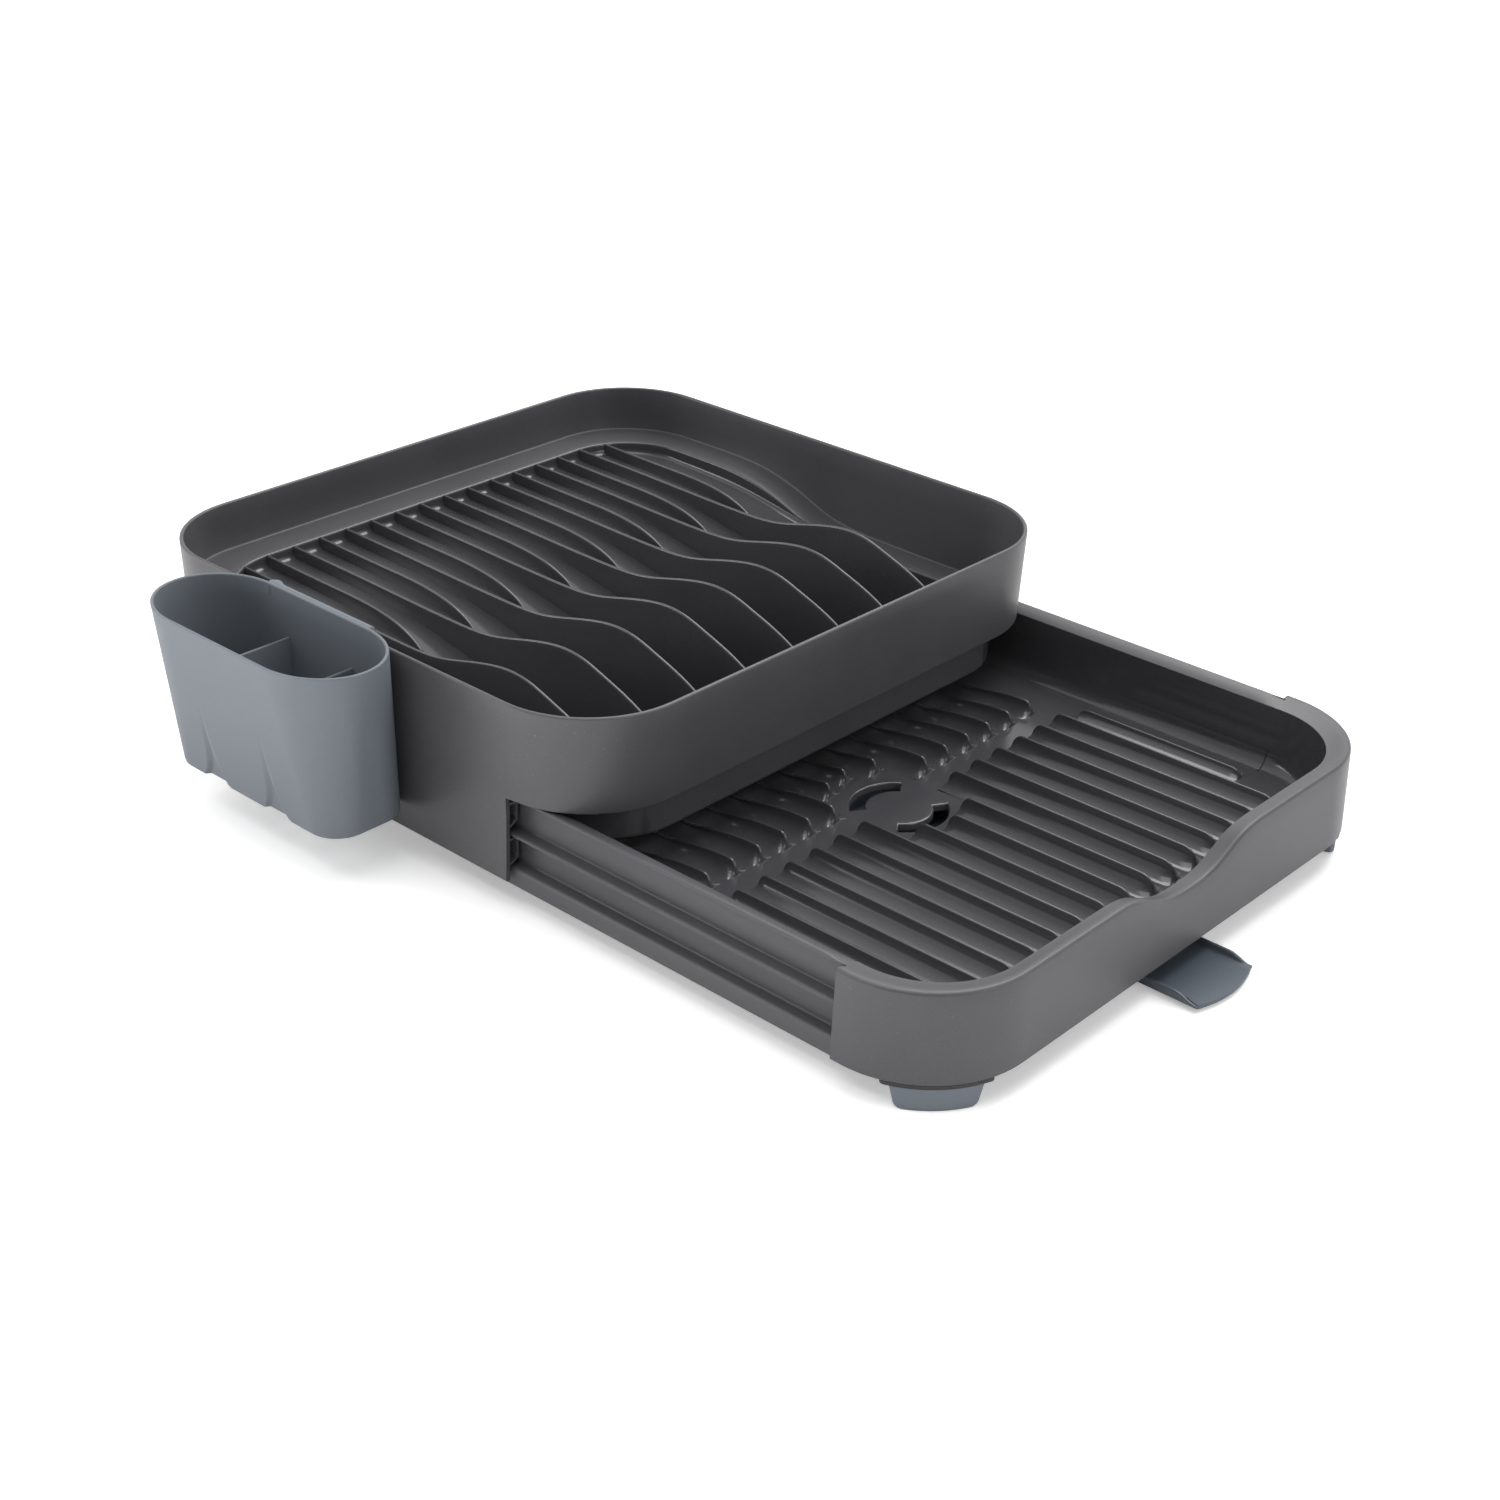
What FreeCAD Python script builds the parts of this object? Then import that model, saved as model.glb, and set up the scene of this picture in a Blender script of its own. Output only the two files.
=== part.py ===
"""Expandable dish rack with a pull-out drip drawer, a hang-on cutlery caddy and a swivel drain spout.

The rack is a rounded tray on a three-sided skirt. Tall and short plate fins alternate across its sloping
trough. The drawer slides out of the open side on rails inside the skirt and is shown pulled out.
Its ribbed floor drains through two arc slots into the spout, which turns under the floor.
The caddy hooks over the rim and lifts off.

Frame: origin on the counter under the middle of the whole object's box, +X the way the drawer pulls out,
+Z up. The pieces are drawn about the middle of the rack and moved there at the end. Sizes are in millimetres.
"""
import FreeCAD, Part
import math
import os

from FreeCAD import Vector

# Rack: outer wall and skirt
rack_length = 341.0          # over the rim, along X
rack_width = 365.0           # over the rim, along Y
rim_height = 112.0           # rim above the counter
arc_tolerance = 0.05         # the curves' chains of arcs stay this close to the points
corner_radius = 55.0         # plan radius of the rim's corners
wall = 2.4                   # thickness of every moulded wall
wall_foot = 61.0             # height of the tray wall's lower edge
wall_lean = 1.5              # how far the tray wall leans in, from the rim to its foot
skirt_bottom = 16.0          # height of the skirt's lower edge
skirt_flare = 1.3            # how far the skirt leans out, from the wall's foot to its lower edge
skirt_end = 114.5            # X of the skirt's open end

# Rack: ledge, trough and drain slots
ledge_high = 85.5            # ledge height behind the fins
ledge_width_back = 20.0      # ledge from the wall to the lip, at the back (-X)
ledge_width_side = 19.0      # the same along both sides
ledge_width_front = 9.0      # the same at the drawer's side (+X)
lip_radius = 42.0            # plan radius of the trough's corners
ramp_start = -66.0           # X where the side ledges leave the high level
ramp_length = 80.0           # length of their ramp down
trough_high = 79.0           # trough floor at its back end
trough_low = 40.6            # trough floor at its front end
rack_drain_length = 15.0     # drain slots between the tall fins, along Y
rack_drain_width = 5.0
rack_drain_inset = 9.0       # from the trough's front wall to the slots' middle

# Plate fins
fin_pairs = 8                # one tall and one short fin in each
fin_pitch = 18.13            # between neighbouring fins, tall to short
fin_thickness = 1.8
fin_hump = 11.0              # top of a tall fin's hump above the ledge
fin_dip = 1.7                # its dip below the ledge, before the hump
short_fin_length = 131.0     # from the lip to where a short fin meets the floor

# Skirt rails
rail_depth = 5.0             # from the skirt's outer face to the rail's web
rail_wall = 1.4
rail_top = 60.2              # upper rail, top flange
groove_top = 45.2            # groove for the drawer's guide
groove_bottom = 39.8
rail_bottom = 27.0           # lower rail, bottom flange
rail_slope = 1.6             # height of the rails' slanted flanges
rail_inset = 26.0            # from the skirt's back to the rails' back ends

# Drawer
travel = 202.0               # slide of the drawer, shut to open
drawer_top = 60.0
drawer_bottom = 12.5         # lower edge of the drawer's sides
fascia_bottom = 14.5
fascia_depth = 59.4          # length of the drawer front along the skirt's line
shut_gap = 0.6               # between the fascia and the skirt when shut
back_gap = 8.0               # behind the shut drawer
side_gap = 0.5               # between the drawer's lip and the rail webs
lip_step = 1.2               # the drawer's top lip stands out this far from its side
lip_height = 3.0
guide_clear = 0.6            # between the guide and the skirt's inner face
guide_play = 0.15            # under the guide, in its groove
guide_height = 3.4
flange_clear = 0.6           # between the lower rail and the drawer's bottom flange
rim_width = 10.0             # drawer rim, outer edge to inner edge
rim_flat = 1.6               # level part of that rim, at its outer edge
rim_drop = 3.0               # how far the rim slopes down to its inner edge
basin_radius = 45.0          # plan radius of the basin's front corners
basin_lean = 2.0             # lean of the basin's walls
basin_cove = 6.0             # cove between walls and floor
floor_middle = 23.5          # floor on the centre line
floor_rise = 3.5             # floor at the sides above the centre line
back_wall_top = 34.5         # the back is low, to pass under the trough
back_corner = 48.0           # plan radius of the drawer's back corners
boss_clear = 1.0             # over the rear feet's bosses when shut
scoop_width = 116.0          # finger scoop in the front rim
scoop_depth = 13.5

# Drawer floor ribs
rib_count = 15
rib_pitch = 18.13
rib_top = 31.2
rib_foot_width = 8.0
rib_crest_width = 2.2
front_rib_start = 8.0        # front ribs begin this far past the drain's centre
front_rib_end = 35.5         # and stop this far behind the drawer's front
rear_rib_start = 30.0        # rear ribs begin this far from the drawer's back
rear_rib_end = 6.0           # and stop this far before the drain's centre
rear_rib_bow = 8.0           # outer rear ribs stop this much earlier
rear_rib_fall = 3.5          # rear ribs are this much lower at their back ends
end_rib_height = 2.6         # the low ribs beside the outermost ones
end_rib_length = 104.0

# Drain, pivot and spout
drain_x = 206.5              # drain's centre with the drawer out
drain_clear = 31.5           # ribs keep this radius free
slot_outer = 25.0            # arc slots
slot_inner = 19.0
slot_half_angle = 56.0
collar_radius = 33.0         # drip collar under the floor, outer
collar_bottom = 13.6
collar_gap = 1.2             # collar to the spout's cup
pivot_radius = 5.0
pivot_clear = 0.06           # running fit of the spout on the pivot
cup_top = 18.0
cup_floor = 6.2              # underside of the spout at the pivot
spout_wall = 1.8
spout_width = 48.0
spout_depth = 4.2            # channel depth inside
spout_fall = 1.6             # the channel drops this much to its tip
spout_length = 198.0         # pivot to tip
tip_bulge = 5.0              # curve of the tip's edge
tip_cut = 9.0                # length of the walls' slope at the tip
screw_head_radius = 4.6
screw_head_height = 1.6
screw_radius = 1.5
screw_length = 9.0
washer_radius = 7.5
washer_thickness = 1.0
washer_play = 0.15

# Feet
foot_height = 11.5
pad_height = 3.0
foot_out = 3.2               # foot's outer face inside the corner's face, at its top
foot_width = 18.0            # radial width at the top
foot_half_angle = 26.0
foot_taper = 1.6             # radial taper on each face
foot_round = 2.5
pad_lap = 1.6                # pad larger than the foot all round
boss_height = 4.0

# Caddy
caddy_x = -15.7              # middle of the caddy along the rim
caddy_length = 149.2         # over its rim
caddy_depth = 63.0
caddy_corner = 31.3          # radius of the round corners at the rim
caddy_corner_ease = 0.03     # the corners bulge out of the flat sides by this, so that they meet at a line
caddy_rise = 7.0             # caddy's rim above the rack's rim
caddy_bottom = 29.3
caddy_taper_end = 9.6        # each end leans in by this
caddy_taper_front = 13.4     # the front leans in by this
caddy_base_corner = 16.5
caddy_wall = 1.8
caddy_floor = 2.0
caddy_gap = 0.5              # between the caddy's back and the rack's rim
hook_length = 81.0
hook_leg = 12.0              # the hook's inner leg, below the rim
hook_gap = 0.4               # hook to wall
hook_seat = 0.3              # hook to the rim's top
divider_top = 93.7
divider_spacing = 49.5
recess_width = 17.0
recess_depth = 2.6
recess_top = 92.0
caddy_slot_length = 20.0
caddy_slot_width = 4.0
caddy_slot_pitch = 10.0

# Derived sizes
half_length = rack_length / 2.0
half_width = rack_width / 2.0
foot_half_length = half_length - wall_lean
foot_half_width = half_width - wall_lean
skirt_half_length = foot_half_length + skirt_flare
skirt_half_width = foot_half_width + skirt_flare
ledge_low = wall_foot + wall
lip_back = -(foot_half_length - wall - ledge_width_back)
lip_front = foot_half_length - wall - ledge_width_front
lip_half_width = foot_half_width - wall - ledge_width_side
fascia_back = skirt_end + shut_gap + travel
drawer_front = fascia_back + fascia_depth
drawer_back = -(foot_half_length - wall - back_gap) + travel
rail_web = foot_half_width - rail_depth
side_face = rail_web - side_gap
web_face = side_face - lip_step
guide_face = foot_half_width - wall - guide_clear
basin_half_width = side_face - rim_width + rim_flat
basin_front = drawer_front - rim_width
caddy_top = rim_height + caddy_rise
caddy_back = -(half_width + caddy_gap)


def rounded_wire(x_low, x_high, y_low, y_high, radius, z):
    """Closed plan outline with four round corners at height z."""
    radius = min(radius, (x_high - x_low) / 2.0 - 0.01, (y_high - y_low) / 2.0 - 0.01)
    corners = [
        (x_high - radius, y_high - radius, 0.0),
        (x_low + radius, y_high - radius, 90.0),
        (x_low + radius, y_low + radius, 180.0),
        (x_high - radius, y_low + radius, 270.0),
    ]
    arcs = []
    for x, y, start in corners:
        points = []
        for angle in (start, start + 45.0, start + 90.0):
            turn = math.radians(angle)
            points.append(Vector(x + radius * math.cos(turn), y + radius * math.sin(turn), z))
        arcs.append(points)
    edges = []
    for index, points in enumerate(arcs):
        edges.append(Part.Arc(*points).toShape())
        following = arcs[(index + 1) % 4]
        edges.append(Part.makeLine(points[2], following[0]))
    return Part.Wire(edges)


def frustum(low, high):
    """Solid between two outlines."""
    return Part.makeLoft([low, high], True, True)


def centred(half_x, half_y, radius, z):
    """Rounded outline centred on the origin."""
    return rounded_wire(-half_x, half_x, -half_y, half_y, radius, z)


def smooth_edges(points):
    """Smooth curve through points, as a chain of tangent arcs."""
    curve = Part.BSplineCurve()
    curve.interpolate(points)
    return [arc.toShape() for arc in curve.toBiArcs(arc_tolerance)]


def curve_ends(edges):
    """End points of a chain of edges that runs along X."""
    points = [vertex.Point for edge in edges for vertex in edge.Vertexes]
    return min(points, key=lambda point: point.x), max(points, key=lambda point: point.x)


def slab_xz(edges, y_low, y_high):
    """Solid from a closed profile in the XZ plane, extruded along Y."""
    face = Part.Face(Part.Wire(Part.__sortEdges__(edges)))
    solid = face.extrude(Vector(0, y_high - y_low, 0))
    solid.translate(Vector(0, y_low, 0))
    return solid


def bar_yz(points, x_low, x_high):
    """Solid from a closed polygon of (y, z) corners, extruded along X."""
    corners = [Vector(x_low, y, z) for y, z in points]
    corners.append(corners[0])
    return Part.Face(Part.makePolygon(corners)).extrude(Vector(x_high - x_low, 0, 0))


def block(x_low, x_high, y_low, y_high, z_low, z_high):
    """Plain box from its limits."""
    return Part.makeBox(x_high - x_low, y_high - y_low, z_high - z_low, Vector(x_low, y_low, z_low))


def mirrored(shape):
    """The same shape on the other side of the centre line."""
    return shape.mirror(Vector(0, 0, 0), Vector(0, 1, 0))


def slot_through(x, y, length_x, length_y, z_low, z_high):
    """Round-ended cutter for a slot."""
    radius = min(length_x, length_y) / 2.0
    wire = rounded_wire(x - length_x / 2.0, x + length_x / 2.0, y - length_y / 2.0, y + length_y / 2.0, radius, z_low)
    return Part.Face(wire).extrude(Vector(0, 0, z_high - z_low))


def sector_wire(x, y, r_low, r_high, middle, half_angle, z):
    """Outline of a ring sector about (x, y)."""
    def point(radius, angle):
        turn = math.radians(angle)
        return Vector(x + radius * math.cos(turn), y + radius * math.sin(turn), z)
    first = middle - half_angle
    last = middle + half_angle
    outer = Part.Arc(point(r_high, first), point(r_high, middle), point(r_high, last)).toShape()
    inner = Part.Arc(point(r_low, last), point(r_low, middle), point(r_low, first)).toShape()
    end = Part.makeLine(point(r_high, last), point(r_low, last))
    start = Part.makeLine(point(r_low, first), point(r_high, first))
    return Part.Wire([outer, end, inner, start])


parts = {}

# Floor and ledge heights along X
trough_run = lip_front - lip_back
trough_drop = trough_high - trough_low
trough_shape = [(-0.10, 1.01), (0.0, 1.0), (0.16, 0.965), (0.32, 0.90), (0.48, 0.69), (0.68, 0.355), (0.84, 0.13),
                (1.0, 0.0), (1.10, -0.01)]
trough_points = [(lip_back + run * trough_run, trough_low + rise * trough_drop) for run, rise in trough_shape]
ledge_drop = ledge_high - ledge_low
ledge_shape = [(-2.0, 1.0), (-1.0, 1.0), (-0.35, 1.0), (0.0, 0.985), (0.25, 0.90), (0.45, 0.74), (0.64, 0.52),
               (0.84, 0.25), (1.05, 0.09), (1.4, 0.02), (1.8, 0.0), (2.4, 0.0), (3.1, 0.0)]
ledge_points = [(ramp_start + run * ramp_length, ledge_low + rise * ledge_drop) for run, rise in ledge_shape]


def xz_curve(points, lower=0.0):
    """Smooth XZ curve through points, lowered by the given amount."""
    return smooth_edges([Vector(x, 0, z - lower) for x, z in points])


def between(top, bottom, half_y):
    """Solid between two XZ curves, over the whole width."""
    ends = [Part.makeLine(*pair) for pair in zip(curve_ends(top), curve_ends(bottom))]
    return slab_xz(top + bottom + ends, -half_y, half_y)


def above(curve, z_high, half_y):
    """Solid from an XZ curve up to a level."""
    start, end = curve_ends(curve)
    first = Vector(start.x, 0, z_high)
    last = Vector(end.x, 0, z_high)
    edges = [Part.makeLine(start, first), Part.makeLine(first, last), Part.makeLine(last, end)]
    return slab_xz(curve + edges, -half_y, half_y)


# Rack body: tray wall, skirt, ledge, trough, rails and foot bosses
outer_wall = frustum(centred(foot_half_length, foot_half_width, corner_radius, wall_foot),
                     centred(half_length, half_width, corner_radius, rim_height))
inner_wall = frustum(centred(foot_half_length - wall, foot_half_width - wall, corner_radius - wall, wall_foot),
                     centred(half_length - wall, half_width - wall, corner_radius - wall, rim_height))
skirt_outer = frustum(centred(skirt_half_length, skirt_half_width, corner_radius, skirt_bottom),
                      centred(foot_half_length, foot_half_width, corner_radius, wall_foot))
skirt_inner = frustum(centred(skirt_half_length - wall, skirt_half_width - wall, corner_radius - wall, skirt_bottom),
                      centred(foot_half_length - wall, foot_half_width - wall, corner_radius - wall, wall_foot))
skirt = skirt_outer.cut(skirt_inner)
skirt = skirt.cut(block(skirt_end, rack_length, -rack_width, rack_width, 0, wall_foot))

ledge = between(xz_curve(ledge_points), xz_curve(ledge_points, wall), rack_width)
ledge = ledge.common(outer_wall)
lip_outline = rounded_wire(lip_back, lip_front, -lip_half_width, lip_half_width, lip_radius, 0)
lip_prism = Part.Face(lip_outline).extrude(Vector(0, 0, rim_height))
trough_space = lip_prism.common(above(xz_curve(trough_points), rim_height, rack_width))
trough_outline = rounded_wire(lip_back - wall, lip_front + wall, -lip_half_width - wall, lip_half_width + wall,
                              lip_radius + wall, 0)
trough_block = Part.Face(trough_outline).extrude(Vector(0, 0, rim_height))
trough_block = trough_block.common(above(xz_curve(trough_points, wall), rim_height, rack_width))
trough_block = trough_block.cut(above(xz_curve(ledge_points, wall / 2.0), rim_height + wall, rack_width))

rack_body = outer_wall.cut(inner_wall).fuse([skirt, ledge, trough_block])
rack_body = rack_body.cut(trough_space)

slant = rail_slope
upper_rail = [(foot_half_width - wall / 2.0, rail_top), (rail_web, rail_top - slant), (rail_web, groove_top + slant),
              (foot_half_width - wall / 2.0, groove_top), (foot_half_width - wall / 2.0, groove_top + rail_wall),
              (rail_web + rail_wall, groove_top + slant + rail_wall), (rail_web + rail_wall, rail_top - slant - rail_wall),
              (foot_half_width - wall / 2.0, rail_top - rail_wall)]
lower_rail = [(foot_half_width - wall / 2.0, groove_bottom), (rail_web, groove_bottom), (rail_web, rail_bottom + slant),
              (foot_half_width - wall / 2.0, rail_bottom), (foot_half_width - wall / 2.0, rail_bottom + rail_wall),
              (rail_web + rail_wall, rail_bottom + slant + rail_wall), (rail_web + rail_wall, groove_bottom - rail_wall),
              (foot_half_width - wall / 2.0, groove_bottom - rail_wall)]
rail_start = -skirt_half_length + rail_inset + wall
for profile in (upper_rail, lower_rail):
    rail = bar_yz(profile, rail_start, skirt_end).common(skirt_outer)
    rack_body = rack_body.fuse([rail, mirrored(rail)])

rack_corner_x = -(skirt_half_length - corner_radius)
rack_corner_y = skirt_half_width - corner_radius
pad_z = foot_height
boss_z = foot_height + pad_height
foot_r_high = corner_radius - foot_out
foot_r_low = foot_r_high - foot_width
lap_angle = math.degrees(pad_lap / foot_r_high)


def foot_boss(x, y, middle):
    """Block inside a corner that a foot is fixed to."""
    wire = sector_wire(x, y, foot_r_low - pad_lap, corner_radius - wall / 2.0, middle, foot_half_angle + lap_angle, boss_z)
    return Part.Face(wire).extrude(Vector(0, 0, boss_height))


def foot(x, y, middle):
    """Tapered soft foot following the corner, with rounded upright edges."""
    wire = sector_wire(x, y, foot_r_low, foot_r_high, middle, foot_half_angle, 0)
    solid = Part.Face(wire).extrude(Vector(0, 0, foot_height))
    upright = []
    for edge in solid.Edges:
        if edge.BoundBox.ZLength > foot_height / 2.0:
            upright.append(edge)
    solid = solid.makeFillet(foot_round, upright)
    centre = Vector(x, y, 0)
    outer_cone = Part.makeCone(foot_r_high - foot_taper, foot_r_high, foot_height, centre)
    inner_cone = Part.makeCone(foot_r_low + foot_taper, foot_r_low, foot_height, centre)
    return solid.common(outer_cone).cut(inner_cone)


def pad(x, y, middle):
    """Flat pad between the foot and the corner."""
    wire = sector_wire(x, y, foot_r_low - pad_lap, foot_r_high + pad_lap, middle, foot_half_angle + lap_angle, pad_z)
    return Part.Face(wire).extrude(Vector(0, 0, pad_height))


rear_boss = foot_boss(rack_corner_x, -rack_corner_y, 225.0)
rack_body = rack_body.fuse([rear_boss, mirrored(rear_boss)])

drain_x_rack = lip_front - rack_drain_inset
for index in range(fin_pairs - 1):
    y = (2 * index - fin_pairs + 1.5) * fin_pitch
    rack_body = rack_body.cut(slot_through(drain_x_rack, y, rack_drain_width, rack_drain_length, trough_low - 3 * wall,
                                           trough_low + 3 * wall))
parts["rack_body"] = rack_body.removeSplitter()

# Plate fins, clipped by the trough so that they seat on its floor
tall_shape = [(0.0, 0.0), (0.20, -0.25), (0.44, -1.0), (0.535, 0.0), (0.60, 0.43), (0.665, 0.86), (0.705, 1.0),
              (0.75, 0.90), (0.80, 0.48), (0.85, -0.02), (0.90, -0.70), (0.94, -1.45), (0.975, -2.45), (0.995, -3.7)]
short_shape = [(0.0, 0.0), (0.45, -0.06), (0.62, -0.10), (0.72, -0.20), (0.80, -0.36), (0.875, -0.62), (0.94, -0.98),
               (1.0, -1.55)]


def fin(curve_points, y):
    """One fin standing in the trough at y."""
    curve = xz_curve(curve_points)
    start, end = curve_ends(curve)
    low = trough_low - 4 * wall
    first = Vector(start.x, 0, low)
    last = Vector(end.x, 0, low)
    edges = [Part.makeLine(start, first), Part.makeLine(first, last), Part.makeLine(last, end)]
    blank = slab_xz(curve + edges, y - fin_thickness / 2.0, y + fin_thickness / 2.0)
    return blank.common(trough_space)


tall_points = []
for run, rise in tall_shape:
    scale = fin_hump if rise > 0 or run > 0.5 else fin_dip
    tall_points.append((lip_back + run * trough_run, ledge_high + rise * scale))
short_points = []
for run, rise in short_shape:
    short_points.append((lip_back + run * short_fin_length, ledge_high + rise * fin_hump))
for index in range(fin_pairs):
    tall_y = (2 * index - fin_pairs + 0.5) * fin_pitch
    parts["tall_fin_%d" % (index + 1)] = fin(tall_points, tall_y)
    parts["short_fin_%d" % (index + 1)] = fin(short_points, tall_y + fin_pitch)

parts["rear_foot_right"] = foot(rack_corner_x, -rack_corner_y, 225.0)
parts["rear_pad_right"] = pad(rack_corner_x, -rack_corner_y, 225.0)
parts["rear_foot_left"] = mirrored(parts["rear_foot_right"])
parts["rear_pad_left"] = mirrored(parts["rear_pad_right"])

# Drawer: rounded fascia and railed sides, then the basin and the open underside
fascia_low = rounded_wire(fascia_back - 2 * corner_radius, drawer_front + skirt_flare, -skirt_half_width, skirt_half_width,
                          corner_radius, fascia_bottom)
fascia_high = rounded_wire(fascia_back - 2 * corner_radius, drawer_front, -foot_half_width, foot_half_width,
                           corner_radius, drawer_top)
fascia = frustum(fascia_low, fascia_high)
fascia = fascia.common(block(fascia_back, 2 * drawer_front, -rack_width, rack_width, 0, rim_height))
fascia_inset_low = rounded_wire(fascia_back - 2 * corner_radius, drawer_front + skirt_flare - wall,
                                wall - skirt_half_width, skirt_half_width - wall, corner_radius - wall, fascia_bottom)
fascia_inset_high = rounded_wire(fascia_back - 2 * corner_radius, drawer_front - wall, wall - foot_half_width,
                                 foot_half_width - wall, corner_radius - wall, drawer_top)
fascia_inset = frustum(fascia_inset_low, fascia_inset_high)
fascia_inset = fascia_inset.common(block(fascia_back + wall, 2 * drawer_front, -rack_width, rack_width, 0, rim_height))

guide_low = groove_bottom + guide_play
guide_high = guide_low + guide_height
flange_top = rail_bottom - flange_clear
half_profile = [(side_face, drawer_top), (side_face, drawer_top - lip_height),
                (web_face, drawer_top - lip_height - lip_step), (web_face, guide_high + lip_step),
                (guide_face, guide_high), (guide_face, guide_low), (web_face, guide_low),
                (web_face, flange_top), (guide_face, flange_top - lip_step), (guide_face, drawer_bottom)]
profile = half_profile + [(-y, z) for y, z in reversed(half_profile)]
sides = bar_yz(profile, drawer_back, fascia_back + wall)


def back_plan(inset):
    """Upright prism with the drawer's round back corners, reduced by inset."""
    outline = rounded_wire(drawer_back + inset, 2 * drawer_front, inset - guide_face, guide_face - inset,
                           back_corner - inset, 0)
    return Part.Face(outline).extrude(Vector(0, 0, rim_height))


body = fascia.fuse(sides.common(back_plan(0.0)))

basin_back = drawer_back + wall
floor_side = floor_middle + floor_rise
rim_inner = drawer_top - rim_drop


def basin(grow):
    """Space inside the drawer, grown on all sides by the given amount."""
    cove_z = floor_side + basin_cove
    top = rounded_wire(basin_back - grow, basin_front + grow, -basin_half_width - grow, basin_half_width + grow,
                       basin_radius + grow, drawer_top + wall)
    middle = rounded_wire(basin_back - grow, basin_front + grow - basin_lean, basin_lean - basin_half_width - grow,
                          basin_half_width + grow - basin_lean, basin_radius + grow - basin_lean, cove_z - grow)
    inset = basin_lean + basin_cove
    low = rounded_wire(basin_back - grow, basin_front + grow - inset, inset - basin_half_width - grow,
                       basin_half_width + grow - inset, basin_radius + grow - inset, floor_middle - grow)
    space = frustum(middle, top).fuse(frustum(low, middle))
    floor = [(-rack_width / 2.0, floor_side - grow), (0, floor_middle - grow), (rack_width / 2.0, floor_side - grow),
             (rack_width / 2.0, rim_height), (-rack_width / 2.0, rim_height)]
    return space.common(bar_yz(floor, 0, 2 * drawer_front))


def scoop(lower):
    """Smooth finger scoop across the front rim."""
    half = scoop_width / 2.0
    shape = [(-1.25, 0.0), (-1.0, 0.0), (-0.82, 0.07), (-0.62, 0.34), (-0.42, 0.72), (-0.2, 0.96), (0.0, 1.0),
             (0.2, 0.96), (0.42, 0.72), (0.62, 0.34), (0.82, 0.07), (1.0, 0.0), (1.25, 0.0)]
    points = [Vector(basin_front - 2 * basin_cove, half * y, drawer_top + 0.02 - lower - z * scoop_depth) for y, z in shape]
    high_first = Vector(points[0].x, points[0].y, rim_height)
    high_last = Vector(points[0].x, points[-1].y, rim_height)
    lines = [Part.makeLine(points[-1], high_last), Part.makeLine(high_last, high_first),
             Part.makeLine(high_first, points[0])]
    return Part.Face(Part.Wire(Part.__sortEdges__(smooth_edges(points) + lines))).extrude(Vector(rim_width + 4 * basin_cove, 0, 0))


slope_back = drawer_back - 2 * corner_radius
slope_low = rounded_wire(slope_back, basin_front, -basin_half_width, basin_half_width, basin_radius, rim_inner)
slope_high = rounded_wire(slope_back, drawer_front - rim_flat, rim_flat - side_face, side_face - rim_flat,
                          basin_radius + rim_width - rim_flat, drawer_top + 0.01)
body = body.cut([basin(0.0), frustum(slope_low, slope_high), scoop(0.0)])
low_back_end = basin_back + basin_radius + wall
body = body.cut(block(drawer_back - wall, low_back_end, -basin_half_width, basin_half_width, back_wall_top, rim_height))
hollow_top = rim_inner - wall
side_hollow = block(drawer_back + wall, fascia_back + 2 * wall, wall - web_face, web_face - wall, 0, hollow_top)
side_hollow = side_hollow.common(back_plan(wall))
side_hollow = side_hollow.cut(block(drawer_back, low_back_end + wall, -basin_half_width - wall, basin_half_width + wall,
                                    back_wall_top - wall, rim_height))
fascia_hollow = fascia_inset.common(block(0, 2 * drawer_front, -rack_width, rack_width, 0, hollow_top))
hollow = side_hollow.fuse(fascia_hollow).cut([basin(wall), scoop(wall)])
drawer = body.cut(hollow)
boss_turn = math.radians(45.0 + foot_half_angle + lap_angle)
notch_end = rack_corner_x + travel + boss_clear - (foot_r_low - pad_lap) * math.cos(boss_turn)
drawer = drawer.cut(block(drawer_back - wall, notch_end, -rack_width, rack_width, 0, boss_z + boss_height + boss_clear))
drawer_corner_x = drawer_front + skirt_flare - corner_radius
front_boss = foot_boss(drawer_corner_x, -rack_corner_y, 315.0)
drawer = drawer.fuse([front_boss, mirrored(front_boss)])


def rib(y, x_start, x_end, top_start, top_end, steep):
    """Ridge on the drawer floor with a rounded front end."""
    low = floor_middle - wall / 2.0
    height = top_end - low
    section = [(y - rib_foot_width / 2.0, low), (y + rib_foot_width / 2.0, low), (y + rib_crest_width / 2.0, rib_top),
               (y - rib_crest_width / 2.0, rib_top)]
    ridge = bar_yz(section, x_start, x_end)
    turn = min(height, (x_end - x_start) / 2.0)
    a = Vector(x_start, 0, low)
    b = Vector(x_start + steep, 0, top_start)
    c = Vector(x_end - turn, 0, top_end)
    d = Vector(x_end - turn * 0.29, 0, top_end - turn * 0.29)
    e = Vector(x_end, 0, low)
    edges = [Part.makeLine(a, b), Part.makeLine(b, c), Part.Arc(c, d, e).toShape(), Part.makeLine(e, a)]
    return ridge.common(slab_xz(edges, y - rib_foot_width, y + rib_foot_width))


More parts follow.
